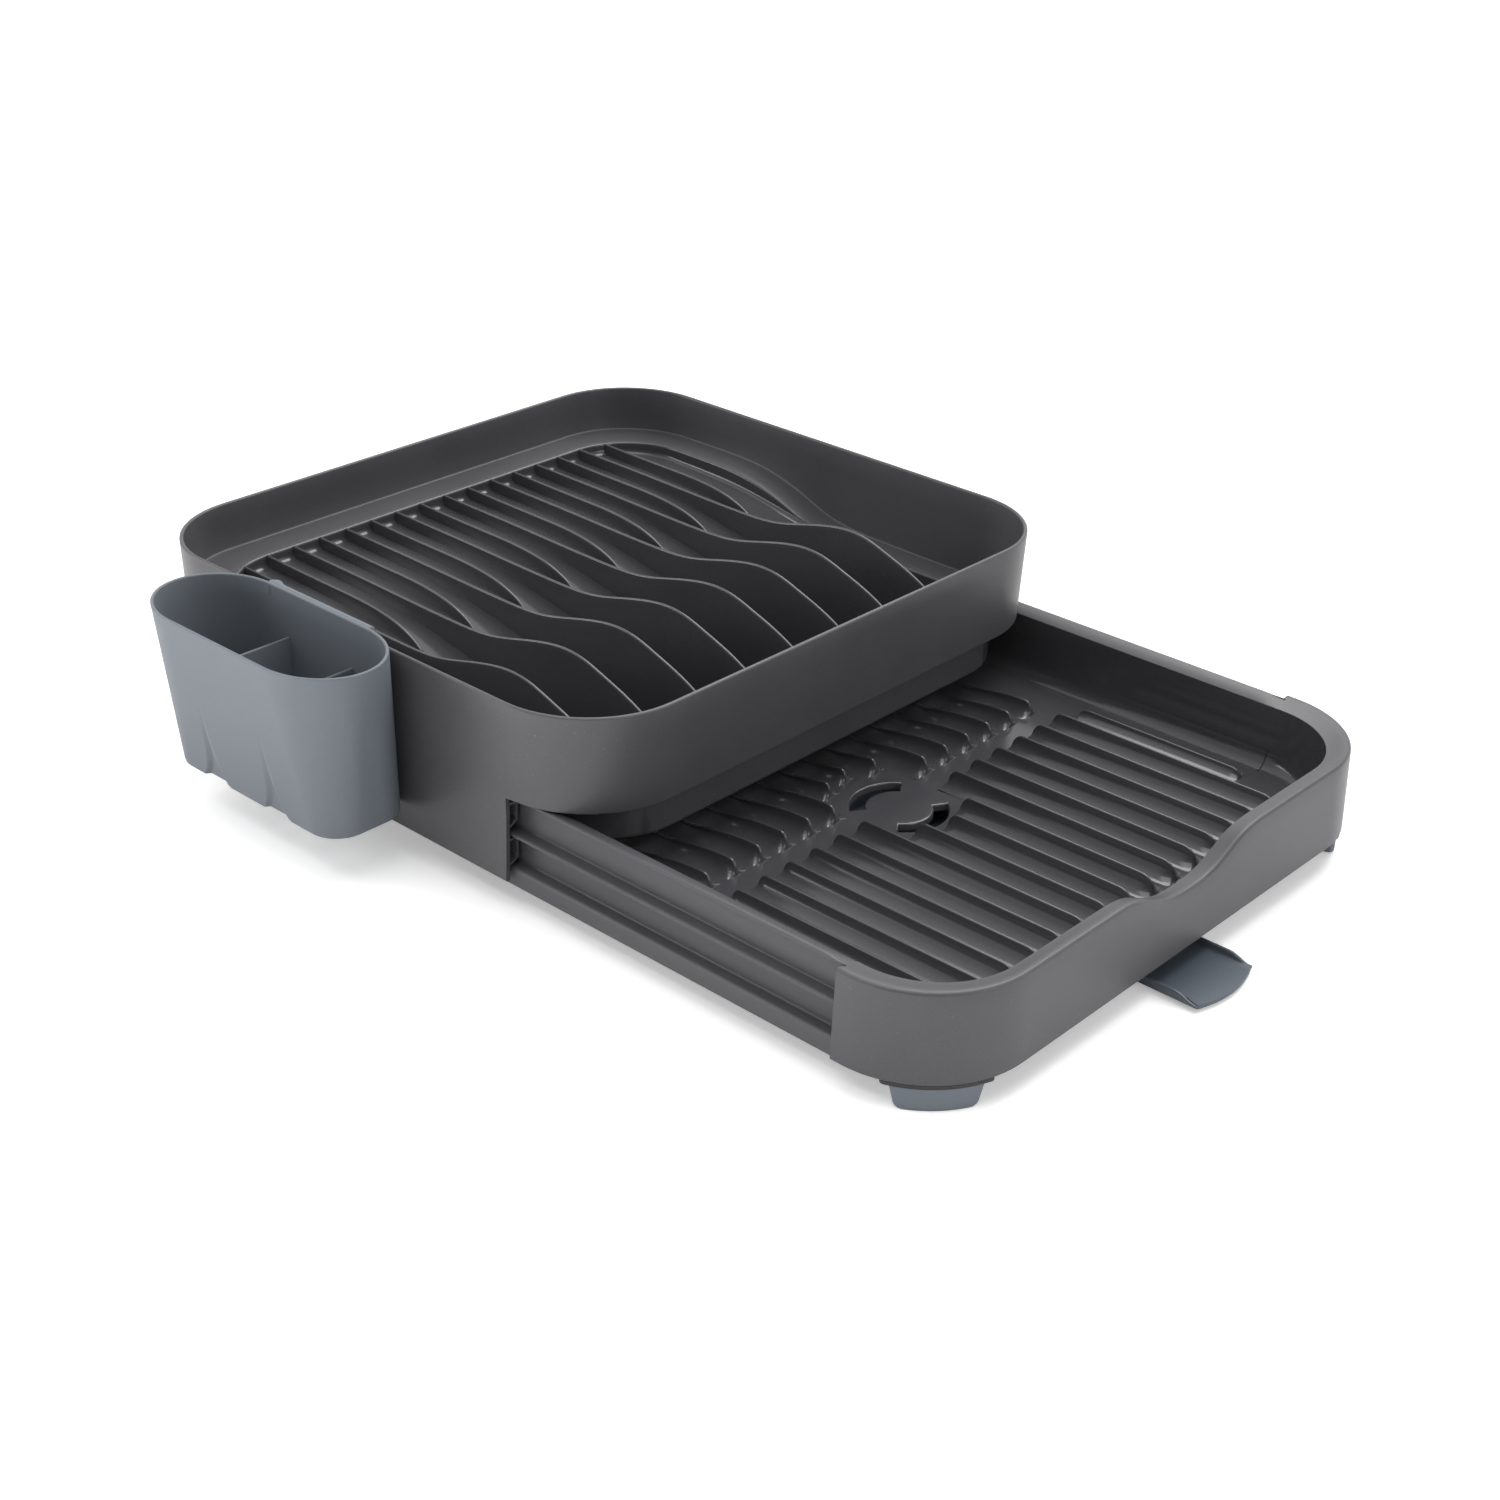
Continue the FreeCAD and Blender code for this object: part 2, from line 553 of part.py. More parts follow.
ribs = []
half_span = (rib_count - 1) / 2.0 * rib_pitch
for index in range(rib_count):
    y = index * rib_pitch - half_span
    share = (y / half_span) ** 2
    ribs.append(rib(y, drain_x + front_rib_start, drawer_front - front_rib_end, rib_top, rib_top, wall))
    ribs.append(rib(y, drawer_back + rear_rib_start, drain_x - rear_rib_end - rear_rib_bow * share, rib_top - rear_rib_fall,
                    rib_top, 3 * wall))
edge_y = half_span + rib_pitch
edge_top = floor_middle + floor_rise * edge_y / (rack_width / 2.0) + end_rib_height
for y in (-edge_y, edge_y):
    ribs.append(rib(y, drain_x + front_rib_start, drain_x + front_rib_start + end_rib_length, edge_top, edge_top, wall))
keep_clear = Part.makeCylinder(drain_clear, rim_height, Vector(drain_x, 0, 0))
rib_group = Part.makeCompound(ribs).cut(keep_clear)
drawer = drawer.fuse(rib_group.Solids)

drain_slot = Part.Face(sector_wire(drain_x, 0, slot_inner, slot_outer, 0, slot_half_angle, 0))
drain_slot = drain_slot.extrude(Vector(0, 0, drawer_top))
other_slot = drain_slot.copy()
other_slot.rotate(Vector(drain_x, 0, 0), Vector(0, 0, 1), 180)
drawer = drawer.cut([drain_slot, other_slot])
floor_underside = floor_middle - wall
collar = Part.makeCylinder(collar_radius, floor_middle - collar_bottom - wall / 2.0, Vector(drain_x, 0, collar_bottom))
collar = collar.cut(Part.makeCylinder(collar_radius - spout_wall, floor_middle, Vector(drain_x, 0, 0)))
pivot_end = cup_floor - washer_play
pivot = Part.makeCylinder(pivot_radius, floor_middle - pivot_end - wall / 2.0, Vector(drain_x, 0, pivot_end))
drawer = drawer.fuse([collar, pivot])
screw_bore = Part.makeCylinder(screw_radius, screw_length, Vector(drain_x, 0, pivot_end))
parts["drawer"] = drawer.cut(screw_bore).removeSplitter()

parts["front_foot_right"] = foot(drawer_corner_x, -rack_corner_y, 315.0)
parts["front_pad_right"] = pad(drawer_corner_x, -rack_corner_y, 315.0)
parts["front_foot_left"] = mirrored(parts["front_foot_right"])
parts["front_pad_left"] = mirrored(parts["front_pad_right"])

# Spout: round cup on the pivot, open channel to the tip
cup_radius = collar_radius - spout_wall - collar_gap
cup = Part.makeCylinder(cup_radius, cup_top - cup_floor, Vector(drain_x, 0, cup_floor))
cup_space = Part.makeCylinder(cup_radius - spout_wall, cup_top, Vector(drain_x, 0, cup_floor + spout_wall))
tip_x = drain_x + spout_length
channel_top = cup_floor + spout_wall + spout_depth


def channel(inset, base, top):
    """Channel block from the pivot to the tip, its width reduced by inset on both sides."""
    half = spout_width / 2.0 - inset
    reach = tip_x + (1.0 if inset else 0.0)
    corners = [Vector(drain_x, -half, base), Vector(reach - tip_bulge, -half, base)]
    bulge = Part.Arc(corners[1], Vector(reach, 0, base), Vector(reach - tip_bulge, half, base)).toShape()
    edges = [Part.makeLine(corners[0], corners[1]), bulge,
             Part.makeLine(Vector(reach - tip_bulge, half, base), Vector(drain_x, half, base)),
             Part.makeLine(Vector(drain_x, half, base), corners[0])]
    return Part.Face(Part.Wire(edges)).extrude(Vector(0, 0, top - base))


def falling(shape_points):
    """Wedge that trims the channel to its fall, as an XZ polygon."""
    corners = [Vector(x, 0, z) for x, z in shape_points]
    corners.append(corners[0])
    solid = Part.Face(Part.makePolygon(corners)).extrude(Vector(0, 2 * spout_width, 0))
    solid.translate(Vector(0, -spout_width, 0))
    return solid


outer_limits = falling([(drain_x - 1, cup_floor), (tip_x + 2, cup_floor - spout_fall),
                        (tip_x + 2, cup_floor - spout_fall + spout_wall + 0.6),
                        (tip_x - tip_bulge - tip_cut, channel_top - spout_fall), (drain_x - 1, channel_top)])
inner_limits = falling([(drain_x - 1, cup_floor + spout_wall), (tip_x + 2, cup_floor - spout_fall + spout_wall),
                        (tip_x + 2, cup_top), (drain_x - 1, cup_top)])
channel_outer = channel(0.0, 0.0, cup_top).common(outer_limits)
channel_inner = channel(spout_wall, 0.0, cup_top).common(inner_limits)
spout = cup.fuse(channel_outer).cut([cup_space, channel_inner])
hub_radius = pivot_radius + pivot_clear
hub = Part.makeCylinder(hub_radius + 2 * spout_wall, channel_top - cup_floor, Vector(drain_x, 0, cup_floor))
spout = spout.fuse(hub).cut(Part.makeCylinder(hub_radius, cup_top, Vector(drain_x, 0, 0)))
parts["spout"] = spout.removeSplitter()

washer_top = cup_floor - washer_play
washer = Part.makeCylinder(washer_radius, washer_thickness, Vector(drain_x, 0, washer_top - washer_thickness))
parts["pivot_washer"] = washer.cut(Part.makeCylinder(screw_radius, washer_top, Vector(drain_x, 0, 0)))
head_top = washer_top - washer_thickness
head = Part.makeCylinder(screw_head_radius, screw_head_height, Vector(drain_x, 0, head_top - screw_head_height))
shank = Part.makeCylinder(screw_radius, screw_length + washer_thickness, Vector(drain_x, 0, head_top))
parts["pivot_screw"] = head.fuse(shank).removeSplitter()

# Caddy: tapered cup, dividers behind two recesses, hook over the rim
caddy_low_x = caddy_x - caddy_length / 2.0
caddy_high_x = caddy_x + caddy_length / 2.0
caddy_front = caddy_back - caddy_depth


def corner_cutter(low, high, before, after, radius_low, radius_high):
    """What a conical corner takes off the leaning edge from low to high, between the sides towards two other corners."""
    up = high - low
    apex = low - up * (radius_low / (radius_high - radius_low))
    reach = (high - apex).Length
    up.normalize()
    across = []
    for neighbour in (before, after):
        side = neighbour - high
        side = side - up * side.dot(up)
        across.append(side.normalize())
    spread = math.atan(radius_high / reach)
    touch = [up * math.cos(spread) + side * math.sin(spread) for side in across]
    inward = [across[1] - across[0] * across[0].dot(across[1]), across[0] - across[1] * across[0].dot(across[1])]
    inward = [normal.normalize() for normal in inward]
    half_angle = math.atan((touch[0] - touch[1]).Length / (inward[1] - inward[0]).Length)
    axis = touch[0] * math.cos(half_angle) + inward[0] * math.sin(half_angle)
    outward = up * math.cos(spread) - (across[0] + across[1]) * (math.sin(spread) / 2.0)
    near = 0.4 * reach
    far = 1.3 * reach
    ends = []
    for distance in (near, far):
        corners = [apex + direction * distance for direction in (touch[0], touch[1], outward)]
        ends.append(Part.makePolygon(corners + [corners[0]]))
    radius_near = near / 2.0 * math.tan(half_angle) + caddy_corner_ease
    radius_far = 2 * far * math.tan(half_angle) + caddy_corner_ease
    cone = Part.makeCone(radius_near, radius_far, 2 * far - near / 2.0, apex + axis * (near / 2.0), axis)
    return frustum(*ends).cut(cone)


def caddy_shell(inset, base):
    """Cup with leaning flat sides and conical corners, reduced by inset on its sides, from base to its rim."""
    levels = []
    for taper_end, taper_front, z in ((caddy_taper_end, caddy_taper_front, caddy_bottom), (0.0, 0.0, caddy_top)):
        x_low = caddy_low_x + taper_end + inset
        x_high = caddy_high_x - taper_end - inset
        y_low = caddy_front + taper_front + inset
        y_high = caddy_back - inset
        levels.append([Vector(x_low, y_low, z), Vector(x_high, y_low, z), Vector(x_high, y_high, z),
                       Vector(x_low, y_high, z)])
    low, high = levels
    solid = frustum(Part.makePolygon(low + [low[0]]), Part.makePolygon(high + [high[0]]))
    for index in range(4):
        solid = solid.cut(corner_cutter(low[index], high[index], high[index - 1], high[(index + 1) % 4],
                                        caddy_base_corner - inset, caddy_corner - inset))
    return solid.common(block(-rack_length, rack_length, -2 * rack_width, 0, base, rim_height * 2))


def recess(x, grow):
    """Tapered recess in the front wall, widest at the bottom."""
    run = caddy_top - caddy_bottom
    front_low = caddy_front + caddy_taper_front
    front_top = caddy_front + caddy_taper_front * (caddy_top - recess_top) / run
    half = recess_width / 2.0 + grow

    def outline(y_face, half_x, depth, z):
        corners = [Vector(x - half_x, y_face - 2 * recess_depth, z), Vector(x + half_x, y_face - 2 * recess_depth, z),
                   Vector(x + half_x, y_face, z), Vector(x + half_x * 0.7, y_face + depth, z),
                   Vector(x - half_x * 0.7, y_face + depth, z), Vector(x - half_x, y_face, z)]
        corners.append(corners[0])
        return Part.makePolygon(corners)
    low = outline(front_low, half, recess_depth + grow, caddy_bottom - 0.01)
    high = outline(front_top, 0.4 + grow, 0.2 + grow, recess_top + grow)
    return frustum(low, high)


divider_x = [caddy_x - divider_spacing / 2.0, caddy_x + divider_spacing / 2.0]
caddy_inner = caddy_shell(caddy_wall, caddy_bottom + caddy_floor)
caddy_inner = caddy_inner.cut([recess(x, caddy_wall) for x in divider_x])
caddy = caddy_shell(0.0, caddy_bottom).cut([recess(x, 0.0) for x in divider_x]).cut(caddy_inner)
for x in divider_x:
    divider = block(x - caddy_wall / 2.0, x + caddy_wall / 2.0, caddy_front, caddy_back - caddy_wall / 2.0,
                    caddy_bottom + caddy_floor / 2.0, divider_top)
    caddy = caddy.fuse(divider.common(caddy_shell(caddy_wall / 2.0, caddy_bottom)))
hook_in = -(half_width - wall - hook_gap)
leg_in = hook_in + caddy_wall
hook_mid = (caddy_back + leg_in) / 2.0
hook_profile = [(caddy_back - caddy_wall / 2.0, caddy_top - 1.0), (hook_mid - 1.5, caddy_top), (leg_in - 1.0, caddy_top),
                (leg_in, caddy_top - 1.0), (leg_in, rim_height - hook_leg), (hook_in, rim_height - hook_leg),
                (hook_in, rim_height + hook_seat), (caddy_back - caddy_wall / 2.0, rim_height + hook_seat)]
hook = bar_yz(hook_profile, caddy_x - hook_length / 2.0, caddy_x + hook_length / 2.0)
caddy = caddy.fuse(hook)
inner_low_x = caddy_low_x + caddy_taper_end + caddy_wall
inner_high_x = caddy_high_x - caddy_taper_end - caddy_wall
bounds = [inner_low_x, divider_x[0], divider_x[1], inner_high_x]
slot_y = (caddy_back + caddy_front + caddy_taper_front) / 2.0 + recess_depth / 2.0
for left, right in zip(bounds[:-1], bounds[1:]):
    middle = (left + right) / 2.0
    for step in (-1, 0, 1):
        caddy = caddy.cut(slot_through(middle + step * caddy_slot_pitch, slot_y, caddy_slot_width, caddy_slot_length,
                                       caddy_bottom - 1.0, caddy_bottom + caddy_floor + 1.0))
parts["caddy"] = caddy.removeSplitter()

# Every node, moved so that the origin is under the middle of the object's box
middle_x = (tip_x - half_length) / 2.0
middle_y = (caddy_front + half_width) / 2.0
os.makedirs("parts", exist_ok=True)
for name, shape in parts.items():
    solid = shape.Solids[0]
    print("%-18s solids %d valid %s volume %.0f" % (name, len(shape.Solids), solid.isValid(), solid.Volume))
    solid.translate(Vector(-middle_x, -middle_y, 0))
    solid.exportStep("parts/%s.step" % name)
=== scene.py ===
import math

import bmesh
import bpy
import numpy as np
from mathutils import Matrix, Vector
from mathutils.geometry import delaunay_2d_cdt


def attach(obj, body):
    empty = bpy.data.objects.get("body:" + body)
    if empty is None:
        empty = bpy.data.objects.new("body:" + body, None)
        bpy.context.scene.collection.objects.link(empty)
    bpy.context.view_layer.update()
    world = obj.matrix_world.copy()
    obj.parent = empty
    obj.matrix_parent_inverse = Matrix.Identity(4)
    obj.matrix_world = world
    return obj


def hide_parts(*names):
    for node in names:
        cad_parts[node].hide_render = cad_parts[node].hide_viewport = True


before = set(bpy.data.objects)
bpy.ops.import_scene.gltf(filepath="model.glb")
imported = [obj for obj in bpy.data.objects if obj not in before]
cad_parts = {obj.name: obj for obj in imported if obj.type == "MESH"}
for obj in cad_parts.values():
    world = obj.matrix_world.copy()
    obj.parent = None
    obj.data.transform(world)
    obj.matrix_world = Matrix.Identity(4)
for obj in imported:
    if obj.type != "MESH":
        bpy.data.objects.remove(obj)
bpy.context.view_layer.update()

# Rack: the tray that the dishes stand in, on a skirt that is open towards the drawer.
# One injection moulding of charcoal polypropylene, satin outside and glossier in its trough, with the
# drawer's rails clipped to the skirt's inner faces. Lengths here are in millimetres about its middle.
to_frame = np.array([-117.0, 31.75, 0.0])  # the frame's origin is under the middle of the whole object
half_length, half_width, rim_z, rim_corner = 170.5, 182.5, 112.0, 55.0
wall, wall_foot, wall_lean = 2.4, 61.0, 1.5
skirt_foot, skirt_flare, skirt_end = 16.0, 1.3, 114.5
rim_edge, ledge_cove, trough_edge, trough_cove = 1.1, 1.0, 1.2, 3.0
lip_back, lip_front, lip_side, lip_corner = -146.6, 157.6, 159.6, 42.0
lip_run = lip_front - lip_back
fin_pitch = 18.13


def spline(points, count=400):
    """Natural cubic through the points by chord length: its second derivatives solve the three-term system
    that keeps the slope the same on both sides of each point, and are nil at both ends."""
    p = np.array(points, float)
    t = np.r_[0, np.cumsum(np.linalg.norm(np.diff(p, axis=0), axis=1))]
    h = np.diff(t)
    n = len(t)
    i = np.arange(1, n - 1)
    system, right = np.eye(n), np.zeros((n, p.shape[1]))
    system[i, i - 1], system[i, i], system[i, i + 1] = h[:-1], 2 * (h[:-1] + h[1:]), h[1:]
    slope = np.diff(p, axis=0) / h[:, None]
    right[1:-1] = 6 * np.diff(slope, axis=0)
    bend = np.linalg.solve(system, right)
    q = np.linspace(0, t[-1], count)
    k = np.clip(np.searchsorted(t, q, side="right") - 1, 0, n - 2)
    u, v, hk = (q - t[k])[:, None], (t[k + 1] - q)[:, None], h[k][:, None]
    return (bend[k] * v**3 + bend[k + 1] * u**3) / (6 * hk) + (p[k] / hk - bend[k] * hk / 6) * v + \
        (p[k + 1] / hk - bend[k + 1] * hk / 6) * u


def height(points):
    """Height as a function of x: the smooth curve through the points, read between its samples."""
    s = spline(points)
    order = np.argsort(s[:, 0])
    return lambda x: np.interp(x, s[order, 0], s[order, 1])


# Both are read as shares of a run and a rise: the ledge's S falls by 22.1 mm, the trough's floor by 38.4 mm.
ledge = height([(-66 + 80 * a, 63.4 + 22.1 * b) for a, b in (
    (-2, 1), (-1, 1), (-0.35, 1), (0, 0.985), (0.25, 0.9), (0.45, 0.74), (0.64, 0.52), (0.84, 0.25), (1.05, 0.09),
    (1.4, 0.02), (1.8, 0), (2.4, 0), (3.1, 0))])
trough = height([(lip_back + a * lip_run, 40.6 + 38.4 * b) for a, b in (
    (-0.1, 1.01), (0, 1), (0.16, 0.965), (0.32, 0.9), (0.48, 0.69), (0.68, 0.355), (0.84, 0.13), (1, 0),
    (1.1, -0.01))])


def ring(x_low, x_high, y_low, y_high, rx, n=18, m=60, ry=None):
    """Rounded rectangle: four quarter ellipses of n steps, joined by straight runs of m steps, from the -Y end
    of the +X, -Y corner on, so that outlines of any size match point by point."""
    ry = rx if ry is None else ry
    middle = np.array([[x_high - rx, y_low + ry], [x_high - rx, y_high - ry],
                       [x_low + rx, y_high - ry], [x_low + rx, y_low + ry]])
    a = np.radians(np.array([[-90], [0], [90], [180]]) + np.linspace(0, 90, n + 1))
    arcs = middle[:, None] + np.stack([rx * np.cos(a), ry * np.sin(a)], axis=2)
    end, start = arcs[:, -1:], np.roll(arcs[:, :1], -1, axis=0)
    runs = end + np.linspace(0, 1, m + 1)[1:-1, None] * (start - end)
    return np.concatenate([arcs, runs], axis=1).reshape(-1, 2)


def lift(xy, z):
    """Plan points with their heights, one for all or one each."""
    return np.c_[xy, np.broadcast_to(z, len(xy))]


def rounding(*degrees):
    """For a rounded edge turned by each angle: 1 - cosine, its way in, and sine, its way up, both in radii."""
    t = np.radians(degrees)
    return list(zip(1 - np.cos(t), np.sin(t)))


def outer(z, inset=0.0):
    """Outline of the tray wall or skirt at height z: it leans in down to the wall's foot, and out again below."""
    if z >= wall_foot:
        lean = wall_lean * (rim_z - z) / (rim_z - wall_foot)
    else:
        lean = wall_lean - skirt_flare * (wall_foot - z) / (wall_foot - skirt_foot)
    x, y = half_length - lean - inset, half_width - lean - inset
    return ring(-x, x, -y, y, rim_corner - inset)


def lip(grow):
    """Outline of the trough's edge, grown outwards."""
    return ring(lip_back - grow, lip_front + grow, -lip_side - grow, lip_side + grow, lip_corner + grow)


def inside(points, loops):
    """Which points lie between the loops: a ray towards +X crosses their edges an odd number of times."""
    a, b = np.vstack(loops), np.vstack([np.roll(loop, -1, axis=0) for loop in loops])
    x, y = points[:, :1], points[:, 1:]
    with np.errstate(divide="ignore", invalid="ignore"):
        at = (b[:, 0] - a[:, 0]) * (y - a[:, 1]) / (b[:, 1] - a[:, 1]) + a[:, 0]
    return (((a[:, 1] > y) != (b[:, 1] > y)) & (x < at)).sum(axis=1) % 2 == 1


class Mesh:
    """Points in millimetres and the faces between them, gathered into one object."""

    def __init__(self):
        self.points, self.faces, self.count = [], [], 0

    def add(self, points, faces):
        """Keeps points from an array of any shape, with faces numbered from the first of them."""
        points = np.asarray(points, float).reshape(-1, 3)
        self.points.append(points)
        self.faces += (np.asarray(faces) + self.count).tolist()
        self.count += len(points)

    def grid(self, rows, closed=False, flip=False, columns=None):
        """Four-sided faces between stacked rows of points; closed joins the last column to the first."""
        rows = np.array(rows, float)
        high, wide = rows.shape[:2]
        left = np.arange(wide if closed else wide - 1) if columns is None else np.array(columns)
        right = (left + 1) % wide
        row = np.arange(high - 1)[:, None] * wide
        quads = np.stack([row + left, row + right, row + wide + right, row + wide + left], axis=2).reshape(-1, 4)
        self.add(rows, quads[:, ::-1] if flip else quads)

    def fan(self, loop, flip=False):
        """One face within a loop of points."""
        order = np.arange(len(loop))[None]
        self.add(loop, order[:, ::-1] if flip else order)

    def fill(self, outline, holes, level, pitch, flip=False):
        """Plan region within an outline and round its holes, as triangles between points of a square grid that
        keep 0.45 pitches from every edge, each raised to level(x, y)."""
        loops = [outline, *holes]
        low, high = outline.min(0), outline.max(0)
        g = np.stack(np.meshgrid(np.arange(low[0] + pitch / 2, high[0], pitch),
                                 np.arange(low[1] + pitch / 2, high[1], pitch)), axis=2).reshape(-1, 2)
        edge = np.vstack(loops)
        near = np.hypot(g[:, :1] - edge[:, 0], g[:, 1:] - edge[:, 1]).min(axis=1)
        g = g[inside(g, loops) & (near > pitch * 0.45)]
        following = np.concatenate([np.roll(np.arange(len(loop)), -1) + start for loop, start in zip(
            loops, np.cumsum([0] + [len(loop) for loop in loops]))])
        co, _, tri, *_ = delaunay_2d_cdt([Vector(p) for p in np.vstack([edge, g])],
                                         list(enumerate(following.tolist())), [], 0, 1e-6)
        co, tri = np.array([tuple(c) for c in co]), np.array(tri)
        tri = tri[inside(co[tri].mean(axis=1), loops)]
        one, two = co[tri[:, 1]] - co[tri[:, 0]], co[tri[:, 2]] - co[tri[:, 0]]
        turned = one[:, 0] * two[:, 1] - one[:, 1] * two[:, 0] < 0
        tri[turned] = tri[turned][:, ::-1]
        self.add(lift(co, level(co[:, 0], co[:, 1])), tri[:, ::-1] if flip else tri)

    def make(self, name, material, body, slot, sharp=38.0, stands_for=None):
        """Welds the points, turns the faces outwards, shades them smooth up to the sharp angle, and lets the
        piece ride on its body, in place of the solid that it stands for."""
        mesh = bpy.data.meshes.new(name)
        mesh.from_pydata(((np.vstack(self.points) + to_frame) / 1000.0).tolist(), [], self.faces)
        bm = bmesh.new()
        bm.from_mesh(mesh)
        bmesh.ops.remove_doubles(bm, verts=bm.verts, dist=4e-6)
        bmesh.ops.recalc_face_normals(bm, faces=bm.faces)
        bm.to_mesh(mesh)
        bm.free()
        mesh.polygons.foreach_set("use_smooth", [True] * len(mesh.polygons))
        mesh.set_sharp_from_angle(angle=math.radians(sharp))
        mesh.materials.append(material)
        piece = bpy.data.objects.new(name, mesh)
        bpy.context.scene.collection.objects.link(piece)
        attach(piece, body)
        if stands_for:
            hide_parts(stands_for)
        return piece


n_arc, n_run = 18, 60
mouth_columns = range(0, 2 * n_arc + n_run)  # along the +X side and its two corners, where the skirt is open
skirt_columns = range(2 * n_arc + n_run, 4 * (n_arc + n_run))
at_mouth = np.zeros((4 * (n_arc + n_run), 1), bool)
at_mouth[1:2 * n_arc + n_run] = True

rack = Mesh()
rows = [lift(np.where(at_mouth, outer(wall_foot, 0.5), outer(wall_foot)), wall_foot)]
rows += [lift(outer(z), z) for z in (wall_foot + 0.5, 72.0, 88.0, 102.0, rim_z - rim_edge)]
rows += [lift(outer(rim_z, rim_edge * far), rim_z - rim_edge + rim_edge * up) for far, up in rounding(30, 60, 90)]
rows += [lift(outer(rim_z, wall - rim_edge * far), rim_z - rim_edge + rim_edge * up)
         for far, up in rounding(90, 60, 30, 0)]
wall_top, wall_low = outer(rim_z, wall), outer(wall_foot, wall)
cove_z = ledge(outer(80.0, wall)[:, 0]) + ledge_cove
for s in (0.3, 0.65, 1.0):
    z = (rim_z - rim_edge) * (1 - s) + cove_z * s
    rows.append(lift(wall_top + (wall_low - wall_top) * ((rim_z - z) / (rim_z - wall_foot))[:, None], z))
cove_out, cove_in, edge_out = rows[-1][:, :2], outer(75.0, wall + ledge_cove), lip(trough_edge)
for far, up in rounding(25, 50, 75, 90):
    xy = cove_out + (cove_in - cove_out) * far
    rows.append(lift(xy, ledge(xy[:, 0]) + ledge_cove * (1 - up)))
for s in (0.25, 0.5, 0.75, 1.0):
    xy = cove_in + (edge_out - cove_in) * s
    rows.append(lift(xy, ledge(xy[:, 0])))
for far, up in rounding(60, 30, 0):
    xy = lip(trough_edge * far)
    rows.append(lift(xy, ledge(xy[:, 0]) - trough_edge + trough_edge * up))
for far, up in rounding(0, 30, 60, 90):
    xy = lip(-trough_cove * far)
    rows.append(lift(xy, trough(xy[:, 0]) + trough_cove * (1 - up)))
rack.grid(rows, closed=True)

# Seven drain slots, 5 by 15 mm, cross the trough's low end between the tall fins.
trough_drains = [ring(lip_front - 11.5, lip_front - 6.5, y - 7.5, y + 7.5, 2.49, 6, 8)
                 for y in (2 * np.arange(7) - 6.5) * fin_pitch]
rack.fill(lip(-trough_cove), trough_drains, lambda x, y: trough(x), 7.0)
rack.fill(lip(-trough_cove), trough_drains, lambda x, y: trough(x) - wall, 14.0, flip=True)
for drain in trough_drains:
    rack.grid([lift(drain, trough(drain[:, 0])), lift(drain, trough(drain[:, 0]) - wall)], closed=True)
under = [lift(lip(grow), trough(lip(grow)[:, 0]) - wall + up)
         for grow, up in ((-trough_cove, 0.0), (0.2, 0.1), (1.6, 0.6), (2.3, 1.4), (wall, 2.6))]
under.append(lift(lip(wall), ledge(lip(wall)[:, 0]) - wall))
under.append(lift(wall_low, np.maximum(ledge(wall_low[:, 0]) - wall, wall_foot + 0.05)))
under.append(lift(np.where(at_mouth, outer(wall_foot, wall - 0.4), wall_low), wall_foot))
rack.grid(under, closed=True)
rack.grid([under[-1], rows[0]], closed=True, columns=mouth_columns)


def skirt(z, inset):
    """Outline of the skirt at height z, whose straight sides run on to the skirt's open end."""
    lean = wall_lean - skirt_flare * (wall_foot - z) / (wall_foot - skirt_foot)
    y = half_width - lean - inset
    return lift(ring(-half_length + lean + inset, skirt_end + rim_corner - inset, -y, y, rim_corner - inset), z)


skirt_rows = [rows[0]] + [skirt(z, 0.0) for z in (50.0, 34.0, 16.5)]
skirt_rows += [skirt(skirt_foot, 0.5), skirt(skirt_foot, wall - 0.5)]
skirt_rows += [skirt(z, wall) for z in (16.5, 34.0, 50.0)] + [under[-1]]
rack.grid(skirt_rows, closed=True, columns=skirt_columns)
for column in (skirt_columns[0], 0):
    rack.fan([row[column] for row in skirt_rows])

# Two folded strips on each side of the skirt are the rails, with the drawer's groove between them.
rail_web, rail_root, rail_wall, rail_start = 173.7, 179.9, 1.2, -112.0
for top, bottom in ((57.6, 44.6), (38.2, 24.4)):
    fold = bottom + 2.4
    strip = np.array([
        (rail_root, top), (rail_web, top), (rail_web, fold), (rail_root - 1.6, bottom), (rail_root, bottom),
        (rail_root, bottom + rail_wall), (rail_root - 1.6, bottom + rail_wall),
        (rail_web + rail_wall, fold + rail_wall), (rail_web + rail_wall, top - rail_wall),
        (rail_root, top - rail_wall)])
    for side in (-1, 1):
        ends = [np.c_[np.full(10, x), side * strip[:, 0], strip[:, 1]] for x in (rail_start, skirt_end - 0.05)]
        rack.grid(ends, closed=True)
        rack.fan(ends[0])
        rack.fan(ends[1], flip=True)


def linear(code):
    """Linear RGBA of an sRGB hex colour: each channel's share c becomes ((c + 0.055) / 1.055) ^ 2.4."""
    c = np.array([int(code[i:i + 2], 16) for i in (0, 2, 4)]) / 255.0
    return [*np.where(c <= 0.04045, c / 12.92, ((c + 0.055) / 1.055) ** 2.4), 1.0]


def node(tree, kind, links=(), sockets=None, **settings):
    """Adds a node: settings are its properties, sockets its inputs' own values, links what feeds them."""
    n = tree.nodes.new("ShaderNode" + kind)
    for key, value in settings.items():
        setattr(n, key, value)
    for key, value in (sockets or {}).items():
        n.inputs[key].default_value = value
    for output, key in links:
        tree.links.new(output, n.inputs[key])
    return n


